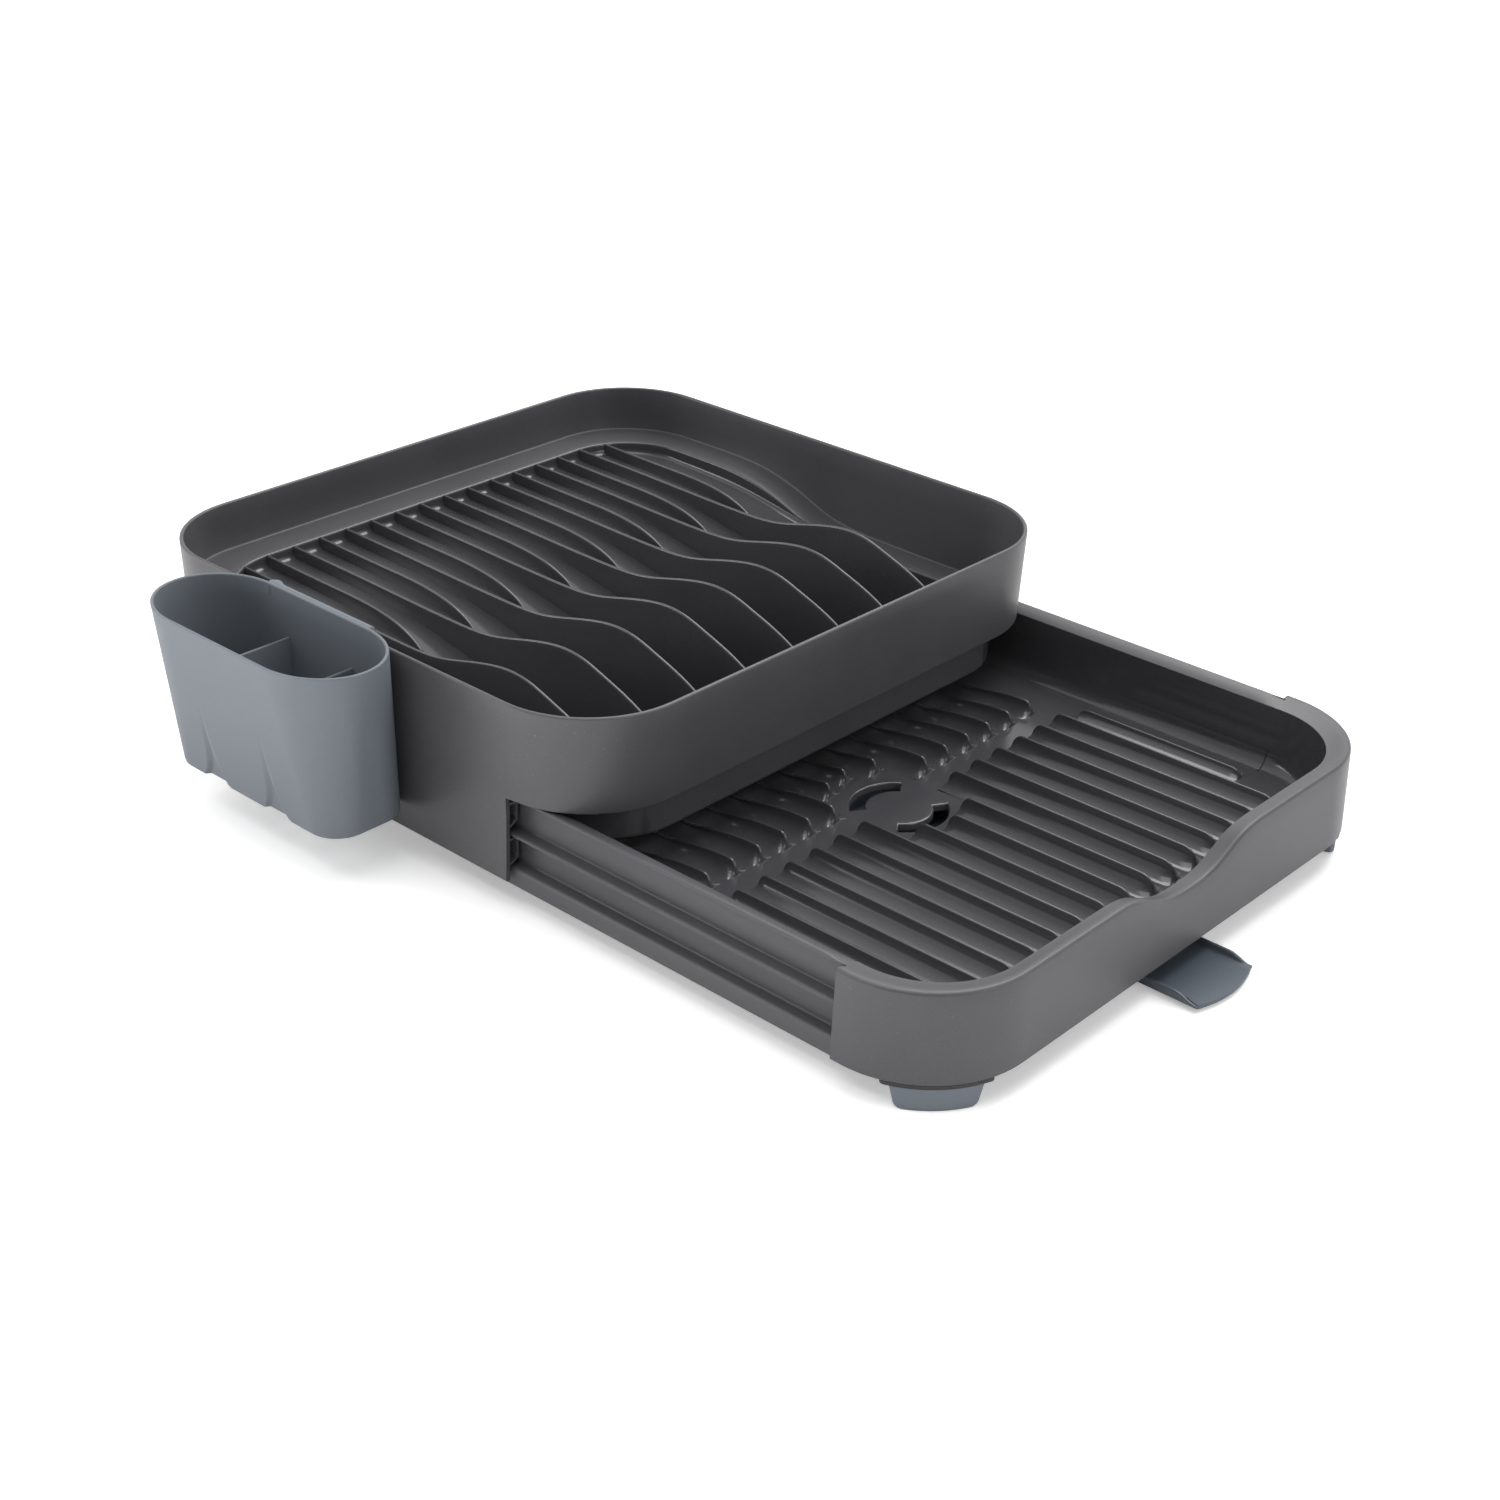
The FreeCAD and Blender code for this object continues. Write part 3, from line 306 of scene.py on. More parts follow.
def moulded(name, dark, light, rough, grain, relief, specular=0.5, dust=0.0, metallic=0.0):
    """Moulded surface, refracting as plastics and rubber do. Clouds 91 mm across, 11 to the metre, from uneven
    flow and wiping, shift the colour from dark to light and the roughness over its span. The mould's eroded
    grain is really under 0.1 mm; to show, it is drawn coarser, with only this many grains to the millimetre.
    Dust is the strength of rare pale specks 1.1 mm across, 900 to the metre."""
    material = bpy.data.materials.new(name)
    material.use_nodes = True
    t = material.node_tree
    t.nodes.clear()
    at = node(t, "TexCoord").outputs["Object"]
    cloud = node(t, "TexNoise", [(at, "Vector")], {"Scale": 11.0, "Detail": 4.0, "Roughness": 0.55}).outputs[0]
    fine = node(t, "TexNoise", [(at, "Vector")], {"Scale": 1000 * grain, "Detail": 3.0, "Roughness": 0.6}).outputs[0]
    both = node(t, "Math", [(cloud, 0), (fine, 1)], operation="ADD").outputs[0]
    share = node(t, "MapRange", [(both, 0)], {1: 0.72, 2: 1.28}).outputs[0]
    colour = node(t, "Mix", [(share, 0)], {6: linear(dark), 7: linear(light)}, data_type="RGBA").outputs[2]
    if dust:
        dots = node(t, "TexNoise", [(at, "Vector")], {"Scale": 900.0, "Detail": 1.0, "Roughness": 0.3}).outputs[0]
        few = node(t, "MapRange", [(dots, 0)], {1: 0.74, 2: 0.80, 3: 0.0, 4: dust}).outputs[0]
        colour = node(t, "Mix", [(few, 0), (colour, 6)], {7: linear("8c8c8c")}, data_type="RGBA").outputs[2]
    sheen = node(t, "MapRange", [(cloud, 0)], {1: 0.3, 2: 0.7, 3: rough[0], 4: rough[1]}).outputs[0]
    bumps = node(t, "Bump", [(fine, "Height")], {"Strength": relief, "Distance": 0.0004}).outputs[0]
    shader = node(t, "BsdfPrincipled", [(colour, "Base Color"), (sheen, "Roughness"), (bumps, "Normal")],
                  {"IOR": 1.5, "Specular IOR Level": specular, "Metallic": metallic})
    node(t, "OutputMaterial", [(shader.outputs[0], 0)])
    return material


# Polypropylene from a finely eroded mould gives the walls a broad soft sheen, with a little dust on it. The
# trough's side of the mould is polished, so the inside shows longer and clearer reflections.
charcoal = moulded("polypropylene_satin_charcoal", "474649", "4f4e51", (0.34, 0.44), 1.4, 0.08, 0.48, dust=0.25)
charcoal_gloss = moulded("polypropylene_gloss_charcoal", "3e3d40", "464548", (0.12, 0.18), 1.1, 0.03, 0.6)


def second_finish(piece, material, chosen):
    """Gives another material to the faces for whose middles chosen(x, y, z), in millimetres, holds."""
    piece.data.materials.append(material)
    x, y, z = (np.array([face.center for face in piece.data.polygons]) * 1000 - to_frame).T
    piece.data.polygons.foreach_set("material_index", chosen(x, y, z).astype(np.int32))


tray = rack.make("rack_body_detailed", charcoal, "rack", "rack_plastic", stands_for="rack_body")
second_finish(tray, charcoal_gloss, lambda x, y, z: (np.abs(x - 5.5) < 153.3) & (np.abs(y) < 160.9) &
              (z < ledge(x) - 0.3) & (z > trough(x) - 1.0))

# Plate fins: eight tall ones with a hump towards the drawer and eight short ones between them.
# Polypropylene blades 1.8 mm thick with a rounded top, moulded with the tray. Their half of the mould is polished
# a little less than the trough's, which draws a thin bright line along each top.
tall_top = [(lip_back + a * lip_run, 85.5 + b * (11.0 if b > 0 or a > 0.5 else 1.7)) for a, b in (
    (0, 0), (0.2, -0.25), (0.44, -1), (0.535, 0), (0.6, 0.43), (0.665, 0.86), (0.705, 1), (0.75, 0.9), (0.8, 0.48),
    (0.85, -0.02), (0.9, -0.7), (0.94, -1.45), (0.975, -2.45), (0.995, -3.7))]
short_top = [(lip_back + a * 131.0, 85.5 + b * 11.0) for a, b in (
    (0, 0), (0.45, -0.06), (0.62, -0.1), (0.72, -0.2), (0.8, -0.36), (0.875, -0.62), (0.94, -0.98), (1, -1.55))]
fin_half, fin_round, fin_flare = 0.9, 0.8, 0.25
fin_gloss = moulded("polypropylene_polished_charcoal", "403f42", "48474a", (0.20, 0.28), 1.2, 0.04, 0.6)
# Across the blade: how far each line is from its middle, and how far under its top. The two without a number
# under the top run along the trough's floor.
turn = np.array(rounding(30, 60, 90))
fin_across = np.r_[-fin_half - fin_flare, -fin_half, -fin_half, -fin_half + fin_round * turn[:, 0]]
fin_across = np.r_[fin_across, -fin_across[::-1]]
fin_down = np.r_[np.nan, -3.0, -fin_round, fin_round * (turn[:, 1] - 1)]
fin_down = np.r_[fin_down, fin_down[::-1]]


def fin(name, top, y):
    """A blade in the plane y: its profile across is carried along the top curve, from lip to lip or down to
    where the curve meets the trough's floor, and cut off along that floor."""
    s = spline(top, 150)
    past = max(0.0, abs(y) - (lip_side - lip_corner))
    cut = lip_corner - math.sqrt(lip_corner**2 - past**2)
    s = s[(s[:, 1] > trough(s[:, 0]) + 0.25) & (s[:, 0] > lip_back + cut - 0.1) & (s[:, 0] < lip_front - cut + 0.1)]
    floor = trough(s[:, 0]) - 0.3
    z = np.where(np.isnan(fin_down)[:, None], floor, np.fmax(s[:, 1] + fin_down[:, None], floor + 0.02))
    x, across = np.broadcast_to(s[:, 0], z.shape), np.broadcast_to(y + fin_across[:, None], z.shape)
    rows = np.stack([x, across, z], axis=2)
    blade = Mesh()
    blade.grid(rows)
    blade.fan(rows[:, 0], flip=True)
    blade.fan(rows[:, -1])
    blade.grid(rows[[0, -1]], flip=True)
    blade.make(name + "_round", fin_gloss, "rack", "rack_plastic", sharp=50, stands_for=name)


for k in range(8):
    fin("tall_fin_%d" % (k + 1), tall_top, (2 * k - 7.5) * fin_pitch)
    fin("short_fin_%d" % (k + 1), short_top, (2 * k - 6.5) * fin_pitch)

# Drawer: the drip tray that slides out on the rack's rails, with a finger scoop in its rounded front.
# One moulding of the rack's charcoal polypropylene: satin outside, polished in its basin. Its low back passes
# under the trough, and two arc slots drain it into the spout.
front_x, back_x, fascia_x, fascia_y, fascia_r = 376.5, 43.4, 317.1, 181.0, 55.0
fascia_top, fascia_foot, fascia_lean, scoop_x = 60.0, 14.5, 1.3, 350.0
basin_x, basin_y, basin_r, basin_wall_foot, basin_cove = 366.5, 167.2, 45.0, 33.0, 7.0
floor_middle, floor_rise, floor_wall = 21.6, 2.4, 2.4
floor_under = floor_middle - floor_wall
drain_x = 206.5


def smooth01(t):
    """Smooth step from 0 to 1: 3 t^2 - 2 t^3 of t held between 0 and 1."""
    t = np.clip(t, 0, 1)
    return t * t * (3 - 2 * t)


def drawer_floor(x, y):
    """Height of the floor: it rises evenly from the middle plane to both sides."""
    return floor_middle + floor_rise * np.abs(y) / 182.5


scoop_share = [(0, 1), (0.2, 0.96), (0.42, 0.72), (0.62, 0.34), (0.82, 0.07), (1, 0), (1.25, 0)]
scoop_curve = height([(-a, b) for a, b in scoop_share[:0:-1]] + scoop_share)


def scoop(xy):
    """How far the front's rim dips: up to 13.5 mm, over 58 mm to each side of the middle."""
    return 13.5 * np.clip(scoop_curve(np.clip(np.abs(xy[:, 1]) / 58.0, 0, 1.25)), 0, 1) * (xy[:, 0] > scoop_x)


def round_front(x, y, r):
    """Open outline of the drawer's front, from its +Y end round two quarter circles to its -Y end."""
    t = np.radians(np.linspace(90, 0, 25))
    lead = np.c_[np.linspace(fascia_x, x - r, 4)[:-1], np.full(3, y)]
    half = np.vstack([lead, np.c_[x - r + r * np.cos(t), y - r + r * np.sin(t)]])
    other = half[::-1] * [1, -1]
    return np.vstack([half, half[-1] + np.linspace(0, 1, 111)[1:-1, None] * (other[0] - half[-1]), other])


def fascia(inset, z, dip=1.0):
    """A line round the fascia at height z, which leans out towards its foot, dipped by a share of the scoop."""
    out = max(fascia_lean * (fascia_top - z) / (fascia_top - fascia_foot), 0) - inset
    xy = round_front(front_x + out, fascia_y + out, fascia_r - inset)
    return lift(xy, z - scoop(xy) * dip)


def basin(inset):
    """Outline of the basin's front, moved inwards."""
    return round_front(basin_x - inset, basin_y - inset, basin_r - inset)


drawer = Mesh()
rim_bend = 58.2
rows = [fascia(floor_wall - 0.5, fascia_foot, 0.0), fascia(0.5, fascia_foot, 0.0), fascia(0.0, fascia_foot + 0.5, 0.0)]
rows += [fascia(0.0, fascia_foot + 0.5 + (rim_bend - fascia_foot - 0.5) * s, s) for s in (0.2, 0.4, 0.6, 0.8, 1.0)]
rows += [fascia(1.8 * far, rim_bend + 1.7 * up) for far, up in rounding(25, 50, 75, 90)]
outside_rows = len(rows)
rim_out = rows[-1][:, :2]
for s in (0.33, 0.66, 0.9):
    xy = rim_out + (basin(0.0) - rim_out) * s
    rows.append(lift(xy, 59.9 - 2.9 * s - scoop(xy)))
for turned, (far, up) in zip((1 / 3, 2 / 3, 1), rounding(30, 60, 90)):
    xy = basin(0.1 * turned)
    rows.append(lift(xy, 57.3 - 1.5 * far - scoop(xy)))
for s in (0.25, 0.5, 0.75, 1.0):
    xy = basin(0.1 + 1.9 * s)
    rows.append(lift(xy, (55.8 - scoop(xy)) * (1 - s) + basin_wall_foot * s))
for far, up in rounding(22, 45, 67, 90):
    xy = basin(2.0 + basin_cove * far)
    z = drawer_floor(*xy.T)
    rows.append(lift(xy, z + (basin_wall_foot - z) * (1 - up)))
drawer.grid(rows)
floor_front = rows[-1][:, :2]
drawer.grid([rows[0], fascia(floor_wall, floor_under, 0.0), lift(basin(-8.4), floor_under)], flip=True)
for column, side in ((0, 1), (-1, -1)):
    drawer.fan([row[column] for row in rows[:outside_rows]] + [
        (fascia_x, side * 176.5, 59.6), (fascia_x, side * 171.0, 57.0), (fascia_x, side * 171.0, floor_under)],
        flip=side < 0)

# The sides carry a thin guide rail between two deep recesses, which the rack's rails fill. Their profile is
# given as (y, z), from the rim down to the bottom flange, and inside from the rim down to the floor.
recess = 171.7
side_profile = [
    (175.6, 59.6), (175.6, 58.6), (175.2, 58.2), (172.2, 57.8), (recess, 57.3), (recess, 42.0), (172.1, 41.6),
    (176.6, 41.2), (177.6, 41.0), (178.0, 40.6), (178.0, 39.4), (177.6, 39.0), (172.1, 38.6), (recess, 38.2),
    (recess, 23.4), (172.2, 22.9), (176.4, 22.5), (177.6, 22.1), (178.0, 21.5), (178.0, 19.6)]
flange = [(178.0, 19.6), (178.0, 12.9), (177.7, 12.5), (175.9, 12.5), (175.6, 12.9), (175.6, floor_under)]
inner_profile = [
    (175.6, 59.6), (175.3, 59.9), (174.9, 60.0), (174.0, 59.9), (170.5, 58.7), (167.9, 57.4), (167.3, 57.0),
    (167.1, 56.2), (166.6, 50.0), (165.9, 41.0), (165.2, basin_wall_foot)]
for far, up in rounding(22, 45, 67, 90):
    y = 165.2 - basin_cove * far
    z = drawer_floor(0, y)
    inner_profile.append((y, z + (basin_wall_foot - z) * (1 - up)))
back_r, back_turn, back_top, flange_start = 48.0, 130.0, 34.5, 78.2


def back_line(y):
    """Where the drawer's outside begins at y: its back corners are quarter circles."""
    past = np.maximum(np.abs(y) - back_turn, 0.0)
    return back_x + back_r - np.sqrt(np.maximum(back_r**2 - past**2, 0.0))


def along_side(profile, side, start=0.0, meets_rim=False):
    """The profile drawn along X, from the round back or from start, into the fascia. One that meets the rim
    passes over the last 9 mm, by the smooth step, to the slope of the fascia's rim."""
    y, z = np.array(profile).T[:, :, None]
    x = np.linspace(np.maximum(back_line(y[:, 0]), start), fascia_x + 1.0, 60, axis=1)
    slope = 59.9 - 2.9 * (179.2 - y) / 12.0
    blend = smooth01((x - fascia_x + 9.0) / 9.0) * (z > 56.5) * meets_rim
    return np.stack([x, np.broadcast_to(side * y, x.shape), z + (slope - z) * blend], axis=2)


for side in (-1, 1):
    drawer.grid(along_side(side_profile, side))
    lines = along_side(flange, side, flange_start)
    drawer.grid(lines)
    drawer.fan(lines[:, 0])
    drawer.grid(along_side(inner_profile, side, meets_rim=True))
    end = np.array([p for p in side_profile if p[1] > back_top] + [(recess, back_top), (165.5, back_top)] +
                   inner_profile[9::-1])
    drawer.fan(np.c_[back_line(end[:, 0]), side * end[:, 0], end[:, 1]], flip=side < 0)


def back_row(inset, z, edge=recess):
    """A line round the low back wall, moved inwards, from one side's edge round two corners to the other's; at
    height z, or on the floor where z is None."""
    r = back_r - inset
    a = np.linspace(math.pi - math.asin((edge - back_turn) / r), math.pi, 20)
    corner = np.c_[back_x + back_r + r * np.cos(a), back_turn + r * np.sin(a)]
    flat = np.c_[np.full(30, back_x + inset), np.linspace(back_turn, -back_turn, 32)[1:-1]]
    xy = np.vstack([corner, flat, corner[::-1] * [1, -1]])
    return lift(xy, drawer_floor(*xy.T) + 0.05 if z is None else z)


drawer.grid([back_row(*row) for row in (
    (2.4, floor_under), (2.4, 19.6), (0.4, 19.5), (0.0, 19.9), (0.0, 34.0), (0.5, back_top), (2.0, back_top, 170.0),
    (2.4, 34.1, 169.0), (2.6, 29.0, 168.0), (4.5, 27.9, 166.0), (10.0, None, 158.0))])


def slot(middle, grow=0.0):
    """Arc slot about the drain, on circles of radius 17.3 and 25.2 mm, widened by grow all round."""
    r_in, r_out = 17.3 - grow, 25.2 + grow
    a = math.radians(middle) + (math.radians(57.0) + (grow - 1.6) / r_out) * np.linspace(-1, 1, 37)
    b = math.radians(middle) + (math.radians(57.0) + (grow - 1.6) / r_in) * np.linspace(1, -1, 37)
    return np.vstack([np.c_[drain_x + r_out * np.cos(a), r_out * np.sin(a)],
                      np.c_[drain_x + r_in * np.cos(b), r_in * np.sin(b)]])


def sump(x, y):
    """Height of the floor, which falls by 0.8 mm, by the smooth step, 34 to 24 mm from the drain's middle."""
    return drawer_floor(x, y) - 0.8 * smooth01((34.0 - np.hypot(x - drain_x, y)) / 10.0)


def circle(r, z):
    """A circle of radius r about the drain's middle, at height z."""
    t = np.radians(np.linspace(0, 360, 73)[:-1])
    return lift(np.c_[drain_x + r * np.cos(t), r * np.sin(t)], z)


slot_edge, slot_skirt, slot_skirt_foot = 0.9, 1.3, 16.9
drawer.fill(np.vstack([floor_front, back_row(2.4, 0.0, 158.2)[::-1, :2]]), [slot(m, slot_edge) for m in (0, 180)],
            sump, 3.2)
drawer.fill(np.vstack([basin(-8.4), back_row(2.4, 0.0, 175.6)[::-1, :2]]), [slot(m, slot_skirt) for m in (0, 180)],
            lambda x, y: np.full(len(x), floor_under), 14.0, flip=True)
for m in (0, 180):
    level = sump(*slot(m, slot_edge).T) - slot_edge
    rows = [lift(slot(m, slot_edge * far), level + slot_edge * up) for far, up in rounding(90, 60, 30, 0)]
    rows += [lift(slot(m, grow), slot_skirt_foot + up) for grow, up in (
        (0, 0.3), (0.3, 0), (1.0, 0), (slot_skirt, 0.3), (slot_skirt, floor_under - slot_skirt_foot))]
    drawer.grid(rows, closed=True)
collar_out, collar_in, collar_foot, pivot_r, pivot_foot, joined = 33.0, 31.2, 13.6, 5.0, 6.05, 19.5
drawer.grid([circle(collar_out, joined), circle(collar_out, collar_foot)], closed=True)
drawer.grid([circle(collar_in, collar_foot), circle(collar_in, joined)], closed=True)
drawer.grid([circle(collar_out, collar_foot), circle(collar_in, collar_foot)], closed=True)
drawer.grid([circle(pivot_r, joined), circle(pivot_r, pivot_foot)], closed=True)
drawer.fan(circle(pivot_r, pivot_foot))
piece = drawer.make("drawer_detailed", charcoal, "drawer", "rack_plastic", stands_for="drawer")
gloss_outline = ring(back_x, basin_x + 0.3, -basin_y - 0.3, basin_y + 0.3, basin_r)
second_finish(piece, charcoal_gloss, lambda x, y, z: inside(np.c_[x, y], [gloss_outline]) & (z < 56.8) &
              (z > floor_under + 0.1))

# Ribs on the drawer's floor, in front of and behind its flat channel: thin crests left standing between hollow
# flutes that lead water to the channel, moulded with the floor. The rear ones rise in an arch from a low line
# under the rack and end in a hook.
ribs = Mesh()
crest_half, ribs_top, flute_steps, crest_steps = 0.8, 31.2, 12, 5
arch = height([(40, 24.2), (100, 24.2), (135, 24.2), (146, 24.4), (152, 25.2), (160, 27.1), (170, 29.1), (178, 30.2),
               (186, 30.8), (192, 30.9), (200, 30.9), (210, 30.9)])


def both_sides(values, sign=1):
    """Values from the valley to the crest, and back on the other side."""
    return np.r_[values, sign * values[-2::-1]]


flute_turn, crest_turn = np.linspace(0, np.pi / 2, flute_steps), np.linspace(0, np.pi / 2, crest_steps)[1:]
rib_across = both_sides(np.r_[fin_pitch / 2 - (fin_pitch / 2 - crest_half) * np.sin(flute_turn),
                              crest_half * np.cos(crest_turn)], -1)[:, None]
rib_flank = both_sides(np.r_[1 - np.cos(flute_turn), np.ones(crest_steps - 1)])[:, None]
rib_crest = both_sides(np.r_[np.zeros(flute_steps), np.sin(crest_turn)])[:, None]


def rib(y, x, crest):
    """Rib in the plane y whose crest has these heights at x: to each side a quarter ellipse falls from upright
    under the rounded crest to level in the valley's middle."""
    h = np.maximum(crest - drawer_floor(x, y), 0.0)
    cap = np.minimum(0.7, 0.35 * h)
    across = y + rib_across + 0 * x
    z = drawer_floor(x, across) - 0.1 + rib_flank * (h - cap) + rib_crest * cap
    ribs.grid(np.stack([np.broadcast_to(x, z.shape), across, z], axis=2))


def drop(x, end, radius):
    """Quarter circle that takes the height from 1 down to 0 over the last stretch before end."""
    return np.sqrt(1 - np.clip(1 - np.abs(x - end) / radius, 0, 1) ** 2)


def stations(x0, x1, first, last, count):
    """Places along a rib, close together where its two ends turn down: they go with 1 - cosine there."""
    a = 1 - np.cos(np.linspace(0, np.pi / 2, 12))
    return np.r_[x0 + first * a, np.linspace(x0 + first, x1 - last, count)[1:-1], x1 - last * a[::-1]]


for k in range(-8, 9):
    y = k * fin_pitch
    level = drawer_floor(0, y)
    if abs(k) == 8:
        x = stations(drain_x + 8, drain_x + 109, 6.0, 6.0, 4)
        rib(y, x, level + 5.0 * drop(x, x[0], 6.0) * drop(x, x[-1], 6.0))
        continue
    start = drain_x + (3.0 if abs(k) > 1 else math.sqrt(30.8**2 - y**2))
    x = stations(start, 347.5, 6.5, 9.0, 4)
    rib(y, x, level + (ribs_top - level) * drop(x, x[0], 6.5) * drop(x, x[-1], 9.0))
    end = drain_x - (10.7 if abs(k) > 1 else math.sqrt(34.8**2 - y**2))
    x = stations(73.4, end, 6.0, 4.8, 34)
    rib(y, x, level + (np.maximum(arch(x), level + 0.8) - level) * drop(x, x[0], 6.0) * drop(x, x[-1], 4.8))
ribs.make("drawer_ribs", charcoal_gloss, "drawer", "rack_plastic", sharp=60)

# Feet: four soft feet of grey-blue thermoplastic rubber, each a piece of a ring under a corner, narrower at its
# bottom. A thin dark rubber pad lies between each foot and the short boss of the moulding that it is pressed on.
# Both rubbers come from a coarsely eroded mould, whose dull skin spreads the light with no clear highlight.
foot_rubber = moulded("thermoplastic_rubber_dull_greyblue", "6b727a", "727981", (0.55, 0.65), 1.6, 0.15)
pad_rubber = moulded("rubber_dull_dark", "2a2a2c", "323234", (0.50, 0.60), 1.6, 0.12)
feet = (("rear_foot_right", -115.3, -127.3, 225, "rack"), ("rear_foot_left", -115.3, 127.3, 135, "rack"),
        ("front_foot_right", 322.8, -127.3, 317, "drawer"), ("front_foot_left", 322.8, 127.3, 43, "drawer"))


def sector(cx, cy, r0, r1, mid, half, n=14, k=2.5):
    """Outline of a ring between the radii r0 and r1, half degrees to each side of mid: the outer arc, round two
    corners of radius k, the inner arc, and round the other two."""
    turned = np.radians(90 * np.array([0.15, 0.4, 0.7, 1.0]))
    far, up = 1 - np.cos(turned), np.sin(turned)
    parts = []
    for r, other, way in ((r1, r0, 1), (r0, r1, -1)):
        trim, end = math.degrees(k / r), math.radians(mid + way * half)
        radius = np.r_[np.full(n, r), r - way * k * far, other + way * k * far[::-1]]
        angle = np.r_[np.radians(mid + way * np.linspace(trim - half, half - trim, n)),
                      end - way * k / r * (1 - up), end - way * k / other * (1 - up[::-1])]
        parts.append(np.c_[cx + radius * np.cos(angle), cy + radius * np.sin(angle)])
    return np.vstack(parts)


def block(mesh, rows):
    """Closed block between stacked outlines, from its top down or its bottom up."""
    mesh.grid(rows, closed=True)
    mesh.fan(rows[0])
    mesh.fan(rows[-1], flip=True)


for name, cx, cy, mid, body in feet:
    foot, pad = Mesh(), Mesh()
    block(foot, [lift(sector(cx, cy, 33.8 - out, 53.2 + out, mid, 23.6 - less), z) for z, out, less in (
        (12.3, 0.0, 0.0), (11.9, 0.45, -0.5), (11.3, 0.0, 0.0), (3.0, -0.15, 2.2), (1.5, -0.25, 2.9),
        (0.5, -0.5, 4.2), (0.1, -0.9, 5.4), (0.0, -1.4, 6.4))])
    foot.make(name.replace("foot", "soft_foot"), foot_rubber, body, "foot_rubber", sharp=60, stands_for=name)
    block(pad, [lift(sector(cx, cy, 32.2 + less, 54.6 - less, mid, 27.8 - less), z) for z, less in (
        (12.2, 0.5), (12.6, 0.0), (14.45, 0.0))])
    pad.make(name.replace("foot", "rim_pad"), pad_rubber, body, "pad_rubber", sharp=60,
             stands_for=name.replace("foot", "pad"))
# The bosses face straight along the corners' diagonals, which the front feet miss by 2 degrees.
for name, moulding in (("rear_foot_bosses", "rack"), ("front_foot_bosses", "drawer")):
    bosses = Mesh()
    for _, cx, cy, mid, body in feet:
        if body == moulding:
            boss = sector(cx, cy, 32.2, 53.2, 45 + 90 * (mid // 90), 27.8)
            block(bosses, [lift(boss, 18.5), lift(boss, 14.5)])
    bosses.make(name, charcoal, moulding, "rack_plastic")

# Spout: an open channel with a rounded tip that runs out under the drawer's front, and the cup at its inner end
# that catches the water under the slots. A grey-blue polypropylene moulding; it turns on the pivot under the
# floor, where a screw and a washer hold it up. Its finely eroded satin skin shows a soft sheen along the channel.
tip_x, cup_under, spout_wall, spout_half, spout_depth = drain_x + 198.0, 6.2, 1.8, 24.0, 3.6
spout_x = np.r_[np.linspace(drain_x + 27.0, tip_x - 26, 12), np.linspace(tip_x - 24, tip_x, 16)]
# Its colour is darker than the caddy's grey-blue: partly the moulding's own tone, partly painted shade for the shadow
# that the drawer's front casts over the channel.
spout_satin = moulded("polypropylene_satin_greyblue", "4c545d", "545c65", (0.34, 0.44), 1.3, 0.08)


def spout_low(x):
    """Height of the channel's underside: it falls by 4.4 mm, by the smooth step, on its way out."""
    return cup_under - 4.4 * smooth01((x - drain_x - 25.0) / 120.0)


def spout_rim(x):
    """Height of the channel's rim: even above the floor, and down by 3.4 mm over the last 12 mm to the tip."""
    return spout_low(x) + spout_wall + spout_depth - 3.4 * smooth01(1 - (tip_x - 5.0 - x) / 12.0)


def channel(y, up, from_rim, end):
    """A line along the channel at y, so far up from its underside or its rim but never above the rim; its last
    point is drawn back by end and, with the square of y, by up to 5 mm, for the rounded tip."""
    last = tip_x - 5.0 * (y / spout_half) ** 2 - end
    x = spout_x[0] + (spout_x - spout_x[0]) / (spout_x[-1] - spout_x[0]) * (last - spout_x[0])
    z = np.minimum((spout_rim(x) if from_rim else spout_low(x)) + up, spout_rim(x))
    return np.c_[x, np.full(len(x), y), z]


spout = Mesh()
out_side = ((23.2, 0.0, True, 0.0), (23.75, -0.2, True, 0.0), (24.0, -0.8, True, 0.0), (24.0, 1.9, False, 0.0),
            (23.6, 0.8, False, 0.0), (22.9, 0.15, False, 0.2), (22.0, 0.0, False, 0.3))
in_side = ((22.7, -0.15, True, 0.3), (22.25, -0.7, True, 0.3), (22.2, 3.6, False, 0.3), (21.9, 2.6, False, 0.3),
           (21.2, 2.0, False, 0.3), (20.2, spout_wall, False, 0.3))
outer_lines = [channel(-y, *rest) for y, *rest in out_side]
outer_lines += [channel(y, 0.0, False, 0.3) for y in np.linspace(-21, 21, 22)]
outer_lines += [channel(*line) for line in out_side[::-1]]
inner_lines = [channel(*line) for line in in_side]
inner_lines += [channel(y, spout_wall, False, 0.3) for y in np.linspace(19.5, -19.5, 20)]
inner_lines += [channel(-y, *rest) for y, *rest in in_side[::-1]]
spout.grid(outer_lines + inner_lines + outer_lines[:1])
# The tip's edge is a rounded band from the outer lines' ends to the inner ones', matched by their y.
tip_out, tip_in = np.array(outer_lines)[:, -1], np.array(inner_lines)[:, -1]
tip_in = tip_in[np.argsort(tip_in[:, 1])]
x_in, z_in = (np.interp(tip_out[:, 1], tip_in[:, 1], tip_in[:, i]) for i in (0, 2))
tip_in = np.c_[x_in, np.clip(tip_out[:, 1], tip_in[0, 1], tip_in[-1, 1]), z_in]
spout.grid([tip_out, (tip_out + tip_in) / 2 + [0.35, 0, 0], tip_in])
